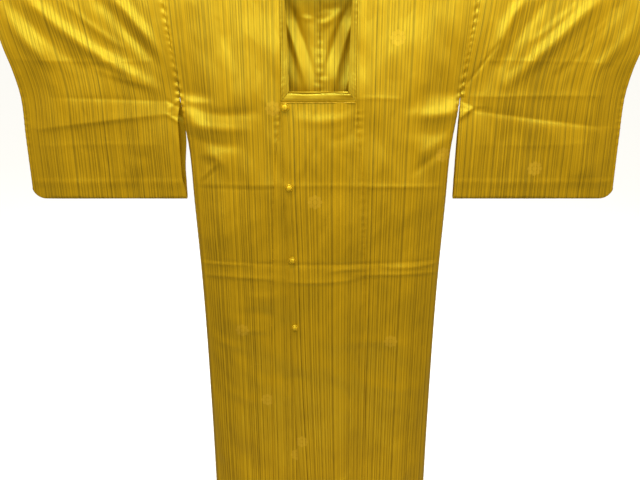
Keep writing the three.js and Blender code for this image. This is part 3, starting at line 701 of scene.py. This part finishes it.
fronts = [make_front("front_left_cloth", 1), make_front("front_right_cloth", -1)]
for front, node in zip(fronts, ("front_left", "front_right")):
    front.data.materials.append(cloth_satin)
    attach(front, "root")
    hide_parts(node)

# ---- The two overlaps ---------------------------------------------------------------------------
# A panel sewn to each front from the neck's corner to the hem. The upper one, on the wearer's left
# front, buttons over the lower one, and its free edge is folded under along its whole length.
LAYER_STEP = 2.6  # of the upper overlap off the cloth below
OVERLAP_TOP = NECK_BOTTOM_DROP + SEAM_GAP
UNDER_EDGE = 38
FOLDED_EDGE = np.array(  # from the edge, and how far off the front
    [(14, 1.3), (9, 1.25), (4, 1.25), (1.2, 1.35), (0.2, 1.65), (0, 2)]
    + [(0.2, 2.35), (1.2, 2.55), (3, LAYER_STEP)]
)
UPPER_FLOWERS = [(-11, 461), (-47, 1108), (70, 1330)]
LOWER_FLOWERS = [(-20, 620), (-60, 1150), (10, 330)]


def make_upper_overlap(name):
    lengths = panel_lengths(OVERLAP_TOP)
    drop = (lengths - QUARTER_ROUND)[:, None]
    seam, free = read_table(FRONT_SEAMS, drop)
    seam = seam + NECK_SHIFT - CLEARANCE
    middle = np.linspace(0, 1, 38)[1:-1]
    folded_width = FOLDED_EDGE[-1, 0]
    between = free + folded_width + (seam - free - folded_width - ROLL_WIDTH) * middle
    across = np.concatenate([free + FOLDED_EDGE[:, 0], between, seam - ROLL[::-1, 0]], axis=1)
    seam_step = 1 - smoothstep(across, seam - 40, seam - 6)
    flat = np.full(len(middle) + ROLL_POINTS, LAYER_STEP)
    out = np.concatenate([FOLDED_EDGE[:, 1], flat]) * seam_step
    out[:, -ROLL_POINTS:] -= ROLL[::-1, 1] * TURN_DEPTH
    length = np.repeat(lengths[:, None], across.shape[1], 1)
    near_neck = within(drop, 250, 270, 310, 360)
    out += puckers(length + 15, seam - across, 0.45, 6) * smoothstep(drop, 244, 290) * (1 + near_neck)
    points = body_cloth(True, across, length, out)
    leaning = (free + 60) * np.clip((seam - across) / (seam - free), 0, 1)
    bolt = np.stack([(across - leaning + 190) * 0.001, length * 0.001], -1)
    flowers = from_flower(across, drop + 0 * across, UPPER_FLOWERS)
    return cloth_piece(name, points, bolt, flowers)


def make_lower_overlap(name):
    lengths = panel_lengths(OVERLAP_TOP)[::2]
    drop = (lengths - QUARTER_ROUND)[:, None]
    seam = read_table(FRONT_SEAMS, drop)[0]
    start = -(seam - NECK_SHIFT - CLEARANCE)
    middle = np.linspace(0, 1, 24)[1:]
    beyond = start + ROLL_WIDTH + (UNDER_EDGE - start - ROLL_WIDTH) * middle
    across = np.concatenate([start + ROLL[:, 0], beyond], axis=1)
    out = np.zeros_like(across)
    out[:, :ROLL_POINTS] -= ROLL[:, 1] * TURN_DEPTH
    length = np.repeat(lengths[:, None], across.shape[1], 1)
    out += puckers(length + 15, across - start, 0.4) * smoothstep(drop, 244, 290)
    points = body_cloth(True, across, length, out)
    bolt = np.stack([(across + 410) * 0.001, length * 0.001], -1)
    flowers = from_flower(across, drop + 0 * across, LOWER_FLOWERS)
    return cloth_piece(name, points, bolt, flowers)


overlap_left = make_upper_overlap("overlap_left_cloth")
overlap_right = make_lower_overlap("overlap_right_cloth")
for overlap, node, width in (
    (overlap_left, "overlap_left", 0.2),
    (overlap_right, "overlap_right", 0.18),
):
    overlap.data.materials.append(cloth_satin)
    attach(overlap, "root")
    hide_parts(node)

# ---- The two sleeves ----------------------------------------------------------------------------
# One bolt width each, folded over the pole and sewn along the bottom with a rounded outer corner,
# and up the outer edge to the cuff. Long soft folds fall from the cuff's top towards the underarm.
SLEEVE_BOTTOM_DROP = 463
SLEEVE_CORNER = 28
CORNER_ARC = 0.96
SLEEVE_WIDTH = 345  # on the bolt
CUFF_STRIP = 60  # beside the outer edge, where the columns keep their distance from it
SLIT_GAPE = 6.5  # of the right sleeve, below the underarm
# Drop, outer edge of the right and the left sleeve, half depth at the armhole, in the middle and at
# the cuff.
SLEEVE_SECTIONS = (
    (0, 676, 678, 13.5, 13.5, 13.5),
    (60, 671, 676, 12.5, 13.5, 15.5),
    (130, 660, 671, 10, 12.5, 14.5),
    (175, 651, 662, 6.5, 11.5, 9),
    (233, 645, 657, 1.2, 10.5, 1.1),
    (320, 648, 659, 8, 10, 1.1),
    (463, 652, 665, 7, 6.5, 1.1),
)
SLEEVE_FOLDS = {
    1: (
        (418, 26, 384, 84, 364, 150, 12, 6),
        (462, 24, 424, 92, 384, 166, 13, -3),
        (574, 24, 500, 110, 400, 204, 15, 7),
        (528, 40, 486, 84, 440, 118, 7, 1.6),
        (626, 26, 566, 104, 505, 186, 14, -3),
        (668, 60, 640, 118, 585, 172, 13, 5),
        (600, 60, 560, 120, 500, 176, 6, 1.3),
    ),
    -1: (
        (420, 28, 376, 86, 318, 160, 12, 6),
        (452, 30, 402, 98, 336, 168, 13, -4),
        (600, 26, 516, 128, 350, 214, 15, 7),
        (520, 40, 470, 96, 410, 132, 7, 1.5),
        (640, 34, 582, 108, 500, 172, 14, -2.6),
        (470, 176, 420, 196, 372, 208, 7, 1.4),
        (662, 36, 634, 104, 572, 160, 14, 6),
    ),
}
SLEEVE_CREASES = {
    1: (
        (308, 217, 341, 168, 372, 122, 3.2, -2.4, 1),
        (298, 238, 314, 246, 332, 257, 4, -1.6, 1),
        (332, 257, 318, 266, 302, 282, 5, 5, 1, 3.5),
        (322, 233, 450, 230, 612, 231, 6, 1.6, 1, 1.5),
        (330, 262, 460, 281, 614, 299, 7, -3.4, 1, 3),
        (608, 304, 632, 345, 652, 392, 5, 1.4, 1),
        (571, 337, 588, 376, 605, 416, 6, 0.9, 1),
        (340, 158, 480, 156, 630, 164, 5, 0.8, 1),
        (342, 337, 480, 342, 600, 333, 7, 0.9, 1),
        (400, 360, 404, 390, 400, 420, 12, 1.2),
        (520, 350, 540, 380, 536, 420, 16, -1.8),
    ),
    -1: (
        (334, 271, 470, 282, 618, 304, 7, 3.4, 1, 3.2),
        (332, 243, 440, 236, 570, 235, 6, -1.6, 1, 1.2),
        (334, 271, 322, 276, 304, 292, 4.5, 2.4, 1),
        (300, 238, 314, 246, 326, 262, 5, 2.2, 1),
        (303, 256, 316, 252, 332, 240, 4, -1.8, 1),
        (340, 158, 470, 162, 640, 155, 5, 0.8, 1),
        (350, 337, 470, 334, 620, 340, 7, 1.0, 1),
        (380, 358, 396, 372, 420, 360, 14, -1.6),
        (560, 340, 548, 390, 552, 430, 12, 1.2),
    ),
}
SLEEVE_FLOWERS = {
    1: ([(479, 391), (690, 900)], [(430, 140), (560, 330)]),
    -1: ([(690, 900)], [(470, 90), (590, 380), (380, 280)]),
}


def make_sleeve(name, side):
    inner = np.concatenate([np.linspace(0, 0.34, 46), np.linspace(0.34, 1, 52)[1:]])[1:-1]
    near = np.array([60, 55, 50, 45, 40, 36, 32, 28, 24.5, 21, 18, 15, 12, 9.5, 7, 5, 3, 1.5, 0.5, 0])
    share = np.concatenate([np.zeros(ROLL_POINTS), inner, np.ones(len(near))])[:, None]
    distance = np.concatenate([np.full(ROLL_POINTS + len(inner), CUFF_STRIP), near])[:, None]
    unrolled = np.zeros(len(inner) + len(near))
    inset = np.concatenate([ROLL[:, 0], unrolled])[:, None]
    rolled = np.concatenate([ROLL[:, 1], unrolled])[:, None]

    def at(drop, is_front):
        """Across, the distance from the outer edge, the half depth and the place across the bolt."""
        outer_right, outer_left, armhole, middle, cuff = read_table(SLEEVE_SECTIONS, drop)
        outer = outer_left if side > 0 else outer_right
        body = read_table(BODY_SECTIONS, np.minimum(drop, UNDERARM_DROP))[0]
        start = body + 0.12 + 0.9 * smoothstep(drop, 175, UNDERARM_DROP)
        from_outer = (outer - start) * (1 - share) + CUFF_STRIP * share
        from_outer = np.where(share < 1, from_outer, distance) - inset
        across = outer - from_outer
        if side < 0:  # below the underarm this sleeve gapes a little and shows its back wall
            if is_front:
                shift = SLIT_GAPE * smoothstep(drop, 238, 290)
            else:
                gap = body - read_table(BODY_SECTIONS, drop)[0]
                shift = -np.clip(gap - 0.3, 0, SLIT_GAPE) * (1 - smoothstep(drop, 320, 400))
            shut = 1 - smoothstep(drop, 405, 453)
            across = across + shift * shut * np.exp(-(across - start) / 14)
        near_armhole = 1 - smoothstep(across - start, 0, 90)
        near_cuff = 1 - smoothstep(from_outer, 0, 75)
        half = middle + (armhole - middle) * near_armhole
        half = half + (cuff - half) * near_cuff
        table = side if is_front else -side
        fade = smoothstep(drop, 15, 60) * (1 - near_cuff) * smoothstep(across - start, 4, 60)
        half = half + folded(SLEEVE_FOLDS[table], across, drop) * fade * (1 if is_front else 0.8)
        fade = smoothstep(drop, 15, 60) * smoothstep(from_outer, 2, 30)
        half = half + folded(SLEEVE_CREASES[table], across, drop) * fade
        waves = uneven(across, drop, side + (0 if is_front else 3))
        half = half + waves * fade * (1 - near_armhole)
        sewn = puckers(drop + 9 * side, from_outer, 0.5, 9) + 0.5 * np.exp(-((from_outer / 9) ** 2))
        half = half + np.maximum(sewn, 0) * smoothstep(drop, 190, 215)
        row = puckers(drop + 25, across - start, 1.5, 6) * smoothstep(drop, 20, 60) * (drop < 240)
        half = half + row * (1 + 0.6 * smoothstep(drop, 150, 225))
        facing = 1.7 * within(drop, 412, 424, 426, 444)
        half = half + facing * smoothstep(from_outer, 1, 12)
        half = half - rolled * seam_turn(drop, armhole) * above_underarm(drop)
        place = CUFF_STRIP + (SLEEVE_WIDTH - CUFF_STRIP) * (1 - share)
        place = np.where(share < 1, place, distance) - inset
        return across, from_outer, np.maximum(half, 0.75), place

    # The bottom edge turns from the front wall to the back wall round a half circle.
    low_drop = np.full_like(share, SLEEVE_BOTTOM_DROP - 10)
    low_across, low_from_outer, low_half, low_place = at(low_drop, True)
    into = CORNER_ARC * np.maximum(0, SLEEVE_CORNER - low_from_outer)
    rise = np.sqrt(SLEEVE_CORNER**2 - into**2)
    bottom = SLEEVE_BOTTOM_DROP - SLEEVE_CORNER + rise
    turn = low_half * np.hypot(1, into / rise)

    def half_ring(is_front):
        forward = -1 if is_front else 1
        across, _, _, place = at(np.zeros((1, 1)), is_front)
        angle = np.radians(np.linspace(0, 78, 7))[None, :] + 0 * across
        depth, high = FOLD_RADIUS * np.sin(angle), FOLD_RADIUS * np.cos(angle)
        over = [across + 0 * angle, forward * depth, high]
        upper, lower = (118, 40) if is_front else (84, 28)
        down = np.concatenate([np.linspace(0, 310, upper), np.linspace(310, 437, lower)[1:]])
        drop = down / down[-1] * (bottom - turn)
        across, _, half, wall_place = at(drop, is_front)
        settled = half + (low_half - half) * smoothstep(drop, 400, bottom - turn)
        wall = [across, forward * settled, -drop]
        around = np.radians(np.linspace(12, 90, 7)) + 0 * low_across
        depth, high = low_half * np.cos(around), -bottom + turn * (1 - np.sin(around))
        under = [low_across + 0 * around, forward * depth, high]
        points = [np.concatenate(parts, axis=1) for parts in zip(over, wall, under)]
        places = [place + 0 * angle, wall_place + 0 * drop, low_place + 0 * around]
        runs = [FOLD_RADIUS * angle, QUARTER_ROUND + drop, QUARTER_ROUND + bottom + low_half * around]
        points = np.stack([side * points[0], points[1], points[2]], -1)
        return points, np.concatenate(places, axis=1), np.concatenate(runs, axis=1)

    front, front_place, front_run = half_ring(True)
    back, back_place, back_run = half_ring(False)
    total = front_run[:, -1:] + back_run[:, -1:]
    points = np.concatenate([front, back[:, -2::-1]], axis=1)
    place = np.concatenate([front_place, back_place[:, -2::-1]], axis=1)
    run = np.concatenate([front_run, total - back_run[:, -2::-1]], axis=1)
    bolt = np.stack([(side * place + 300 - 30 * side) * 0.001, run * 0.001], -1)
    front_flowers, back_flowers = SLEEVE_FLOWERS[side]
    flowers = np.concatenate(
        [
            from_flower(side * front[..., 0], -front[..., 2], front_flowers),
            from_flower(side * back[..., 0], -back[..., 2], back_flowers)[:, -2::-1],
        ],
        axis=1,
    )
    return cloth_piece(name, points, bolt, flowers, flip=side < 0, closes=True)


sleeves = [make_sleeve("sleeve_left_cloth", 1), make_sleeve("sleeve_right_cloth", -1)]
for sleeve, node in zip(sleeves, ("sleeve_left", "sleeve_right")):
    sleeve.data.materials.append(cloth_satin)
    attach(sleeve, "root")
    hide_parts(node)

# ---- The neck frame -----------------------------------------------------------------------------
# A band of the same satin, cut along the stripes and folded double round a soft filling; its colour
# is a darker copy of the coat's, painted shade. One length runs up both sides of the neck and round
# its back, and a short one mitred to it closes the front.
POLE_RADIUS = 12
COLLAR_THICKNESS = 2
COLLAR_OFF_POLE = 0.8
COLLAR_EDGE = NECK_HALF - 0.6
FRAME_STEP = 0.4  # of the band's bottom off the right front, where no overlap lies under it
MITRE = (80, NECK_BOTTOM_DROP - SEAM_GAP, 62.5, 219.5)  # outer end's across and drop, inner end's
SIDE_BANDS = (  # seam's across and drop, free edge's across and drop, how far that is turned in
    (79.5, 239.6, 62.9, 219, 2.5),
    (COLLAR_EDGE, 214, 62.9, 200, 3.5),
    (COLLAR_EDGE, 175, 63.5, 170, 4.5),
    (COLLAR_EDGE, 125, 65, 125, 5.2),
    (COLLAR_EDGE, 75, 67, 75, 5.2),
    (COLLAR_EDGE, 32, 69, 32, 3),
)
NECK_BACK = (  # share of the neck's half width, free edge's across, depth and drop
    (1, 66.5, 13.9, -3),
    (0.9, 62, 14.8, -2),
    (0.7, 51, 16, 0.5),
    (0.5, 38, 16.6, 1.5),
    (0.3, 23, 17, 2.4),
    (0, 0, 17.3, 3),
)


def collar_line():
    """The band's seam and free edge, from the wearer's left front corner to the back's middle."""
    seam, free = [], []
    for seam_x, seam_drop, free_x, free_drop, turned_in in SIDE_BANDS:
        seam.append(body_cloth(True, seam_x, seam_drop + QUARTER_ROUND))
        free.append(body_cloth(True, free_x, free_drop + QUARTER_ROUND) + np.array([0, turned_in, 0]))
    radius = POLE_RADIUS + COLLAR_OFF_POLE + COLLAR_THICKNESS / 2
    for degrees in range(0, 180, 30):
        y = -radius * math.cos(math.radians(degrees))
        z = radius * math.sin(math.radians(degrees))
        seam.append((COLLAR_EDGE, y, z))
        free.append((69 - 2.5 * degrees / 180, y, z))
    for share, free_x, free_y, free_drop in NECK_BACK:
        seam.append((share * COLLAR_EDGE, radius, -(BACK_NECK_DROP * math.sqrt(1 - share**2) - 0.6)))
        free.append((free_x, free_y, -free_drop))
    return np.array(seam), np.array(free)


def round_edges(piece):
    bevel = piece.modifiers.new("rounded", "BEVEL")
    bevel.width = 0.0006
    bevel.segments = 3
    bevel.limit_method = "ANGLE"
    bevel.angle_limit = math.radians(60)
    bpy.ops.object.modifier_apply(modifier=bevel.name)


def band(name, seam, free, along):
    """A folded band between two lines of points, a little full in the middle, with its UV map."""
    across = np.linspace(0, 1, 11)
    points = seam[:, None] + (free - seam)[:, None] * across[None, :, None]
    along_edge = np.gradient(points, axis=0)
    over_edge = np.gradient(points, axis=1)
    out = np.cross(over_edge, along_edge)
    out /= np.linalg.norm(out, axis=-1, keepdims=True)
    full = 0.35 * np.sin(np.pi * across)[None, :] ** 0.6
    ease = puckers(along[:, None] * 1.4 + 30, across[None, :] * 20, 0.3, 9)
    points = points + out * (full + ease)[..., None]
    width = np.linalg.norm(free - seam, axis=1)[:, None]
    bolt = np.stack([(across * width + 21) * 0.001, along[:, None] * 0.001 + 0 * across], -1)
    no_flowers = np.full(bolt.shape, 1.0)
    folded_band = cloth_piece(name, points, bolt, no_flowers, thickness=COLLAR_THICKNESS - 0.4)
    round_edges(folded_band)
    return folded_band


def layers_below(across):
    """How far the cloth under the band's bottom lies off the front, with the overlap or without."""
    return LAYER_STEP + (FRAME_STEP - LAYER_STEP) * smoothstep(across, 20, 60)


seam, free = collar_line()
mirror = np.array([-1, 1, 1])
seam = np.concatenate([(seam * mirror)[:-1], seam[::-1]])
free = np.concatenate([(free * mirror)[:-1], free[::-1]])
seam[:, 0] += NECK_SHIFT
free[:, 0] += NECK_SHIFT
run = np.concatenate([[0], np.linalg.norm(np.diff(seam, axis=0), axis=1).cumsum()])
closer = np.linspace(0, run[-1], 260)
seam = read_table(np.column_stack([run, seam]), closer).T
free = read_table(np.column_stack([run, free]), closer).T
collar = band("collar_band", seam, free, closer)

corner_x, corner_drop, inner_x, inner_drop = MITRE
up = np.linspace(0, 1, 30)[:, None]
reach = corner_x + (inner_x - corner_x) * up - 0.25
across = NECK_SHIFT + reach * np.linspace(-1, 1, 76)[None, :]
drop = corner_drop + (inner_drop - corner_drop) * up + 0 * across
tuck = puckers(across * 1.3, up * 21, 0.35, 8) + puckers(across + 50, (1 - up) * 21, 0.25, 8)
right_end = smoothstep(across, 20, 56)
full = 1.6 * (np.sin(np.pi * up**0.55) * (1 - right_end) + np.sin(np.pi * up**3) * right_end)
groove = (up - 0.8 - 0.04 * np.sin(across / 17)) / 0.07
pressed = 1.5 * np.exp(-(groove**2)) * smoothstep(across, -82, -60)
out = layers_below(across) + full - pressed + 0.4 + tuck
points = body_cloth(True, across, drop + QUARTER_ROUND, out)
bolt = np.stack([(up * 21 + 127 + 0 * across) * 0.001, across * 0.001], -1)
no_flowers = np.full(bolt.shape, 1.0)
collar_front = cloth_piece(
    "collar_front_band", points, bolt, no_flowers, thickness=COLLAR_THICKNESS - 0.4
)
round_edges(collar_front)

# The band's satin: the coat's stripes in darker colours, painted shade where the band turns in.
collar_satin_painted_shade = striped_satin(
    "collar_satin_painted_shade", (0.42, 0.223, 0.004), (0.35, 0.18, 0.003), (0.12, 0.046, 0.0005)
)
for piece, node, flat, area in (
    (collar, "collar", (0.022, 0.68), 0.012),
    (collar_front, "collar_front", (0.022, 0.17), 0.0035),
):
    piece.data.materials.append(collar_satin_painted_shade)
    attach(piece, "root")
    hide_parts(node)


def cord_piece(name, lines, radius, roundness):
    """A piece of round cords or threads, one along each row of points in mm, its radius in m."""
    bpy.ops.object.select_all(action="DESELECT")
    bpy.ops.curve.primitive_nurbs_path_add()
    cord = bpy.context.object
    cord.name = name
    cord.data.splines.clear()
    for line in lines:
        spline = cord.data.splines.new("POLY")
        spline.points.add(len(line) - 1)
        spline.points.foreach_set("co", np.column_stack([line * 0.001, np.ones(len(line))]).ravel())
    cord.data.bevel_depth = radius
    cord.data.bevel_resolution = roundness
    cord.data.use_fill_caps = True
    bpy.ops.object.convert(target="MESH")
    bpy.ops.object.transform_apply(location=True, rotation=True, scale=True)
    bpy.ops.object.shade_smooth()
    return bpy.context.object


# A thin piping of the same cloth, folded round a cord and caught in the seam under the frame.
PIPING_DROP = 242.4
across = np.linspace(-78.5, 78.5, 60) + NECK_SHIFT
line = body_cloth(True, across, QUARTER_ROUND + PIPING_DROP, layers_below(across) + 0.5)
piping = cord_piece("neck_piping", [line], 0.00115, 3)

plain_satin, tree, shader = new_material("plain_gold_satin")
where = add_node(tree, "ShaderNodeTexCoord").outputs["Object"]
inputs = {"Vector": where, "Scale": 260.0, "Detail": 3.0}
mottle = add_node(tree, "ShaderNodeTexNoise", inputs).outputs[0]
share = remap(tree, mottle, 0.3, 0.7)
inputs = {"Vector": where, "Scale": 420.0, "Distortion": 1.5}
spun = add_node(tree, "ShaderNodeTexWave", inputs).outputs[0]
inputs = {"Height": spun, "Strength": 0.35, "Distance": 0.0002}
look = {
    "Base Color": mix_colours(tree, share, (0.40, 0.225, 0.005, 1), (0.56, 0.34, 0.012, 1)),
    "Roughness": remap(tree, mottle, 0.3, 0.7, 0.36, 0.5),
    "Normal": add_node(tree, "ShaderNodeBump", inputs).outputs[0],
    "Specular Tint": (1, 0.8, 0.2, 1),
}
feed(tree, shader, look)
piping.data.materials.append(plain_satin)
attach(piping, "root")

# ---- The buttons --------------------------------------------------------------------------------
# Four domed moulds covered in the coat's cloth, gathered under at the rim. The top one, at the
# corner of the frame, is a little larger than the three below it. Their satin is a lighter copy of
# the coat's, painted highlight.
BUTTONS = ((-75, 252, 9), (-68, 427, 8), (-64, 601, 8), (-60, 776, 8))  # across, drop, radius
BUTTON_HEIGHT = 6
BUTTON_LIFT = 1.4  # off the overlap
FLAT_BACK = -0.45  # of a ball of radius 1, below which it is flat
# A lighter copy of the coat's striped satin: painted highlight on the domes.
button_satin_painted_highlight = striped_satin(
    "covered_button_painted_highlight", (0.66, 0.39, 0.012), (0.58, 0.34, 0.009), (0.34, 0.17, 0.002)
)
for number, (across, drop, radius) in enumerate(BUTTONS, 1):
    bpy.ops.object.select_all(action="DESELECT")
    bpy.ops.mesh.primitive_uv_sphere_add(segments=56, ring_count=72, radius=1)
    button = bpy.context.object
    button.name = button.data.name = f"button_{number}_cover"
    bpy.ops.object.mode_set(mode="EDIT")
    bpy.ops.mesh.select_all(action="DESELECT")
    bpy.ops.object.mode_set(mode="OBJECT")
    for vertex in button.data.vertices:
        vertex.select = vertex.co.z < FLAT_BACK
    bpy.ops.object.mode_set(mode="EDIT")
    bpy.ops.transform.resize(value=(1, 1, 0), center_override=(0, 0, FLAT_BACK))
    bpy.ops.object.mode_set(mode="OBJECT")
    round_dome = np.empty(len(button.data.vertices) * 3)
    button.data.vertices.foreach_get("co", round_dome)
    x, y, z = round_dome.reshape(-1, 3).T
    angle = np.arctan2(y, x)
    from_middle = np.hypot(x, y)
    rim = np.exp(-(((from_middle - 0.97) / 0.16) ** 2))
    gathers = 1 + 0.018 * rim * np.sin(17 * angle + 2 * np.sin(3 * angle))
    high = (z - FLAT_BACK) / (1 - FLAT_BACK)
    groove = 3 * np.exp(-(((from_middle - 0.78) / 0.1) ** 2)) * (z > 0)
    high = high ** (0.8 + 0.2 * high) * BUTTON_HEIGHT - groove
    place = body_cloth(True, across, drop + QUARTER_ROUND, LAYER_STEP + BUTTON_LIFT)
    points = np.column_stack([x * gathers * radius, -high, y * gathers * radius])
    button.data.vertices.foreach_set("co", ((points + place) * 0.001).ravel())
    over = points[:, [0, 2]] * 0.001 + np.array([number / BUNCHES, 0])
    give_maps(button, over, np.ones_like(over))
    bpy.ops.object.shade_smooth_by_angle(angle=math.radians(60))
    button.data.materials.append(button_satin_painted_highlight)
    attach(button, "root")
    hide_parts(f"button_{number}")

# Short bars of thread on the front below, near the buttons, where the hidden loops are caught down.
BAR_PLACES = ((-88, 318), (-103, 423), (-108, 601), (-115, 772))  # across, drop
down = np.linspace(-3, 3, 7)
arched = 0.5 + 0.5 * np.cos(down / 2)
lines = [
    body_cloth(True, across + down / 5, QUARTER_ROUND + drop + down, arched)
    for across, drop in BAR_PLACES
]
bars = cord_piece("loop_stitches", lines, 0.0006, 2)
bars.data.materials.append(plain_satin)
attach(bars, "root")

# ---- The pole -----------------------------------------------------------------------------------
# A turned and lightly oiled wooden pole with chamfered ends: the frame's own node, with its grain
# running along it.
oiled_wood, tree, shader = new_material("oiled_wood")
where = add_node(tree, "ShaderNodeTexCoord").outputs["Object"]
grained = []
for scale, inputs in (
    ((6.0, 120.0, 120.0), {"Detail": 5.0, "Distortion": 0.8}),
    ((40.0, 900.0, 900.0), {"Detail": 2.0}),
):
    drawn_out = add_node(tree, "ShaderNodeMapping", {"Vector": where, "Scale": scale}).outputs[0]
    inputs = {"Vector": drawn_out, "Scale": 1.0, **inputs}
    grained.append(add_node(tree, "ShaderNodeTexNoise", inputs).outputs[0])
grain, pores = grained
pores = remap(tree, pores, 0.28, 0.45)
share = remap(tree, grain, 0.3, 0.7)
wood = mix_colours(tree, share, (0.33, 0.17, 0.062, 1), (0.58, 0.36, 0.16, 1))
in_pores = calculate(tree, "MULTIPLY_ADD", pores, -0.35, 0.35)
inputs = {"Height": pores, "Strength": 0.4, "Distance": 0.0003}
look = {
    "Base Color": mix_colours(tree, in_pores, wood, (0.16, 0.075, 0.025, 1)),
    "Roughness": remap(tree, grain, 0.3, 0.7, 0.48, 0.62),
    "Normal": add_node(tree, "ShaderNodeBump", inputs).outputs[0],
}
feed(tree, shader, look)
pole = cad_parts["pole"]
pole.data.materials.clear()
pole.data.materials.append(oiled_wood)
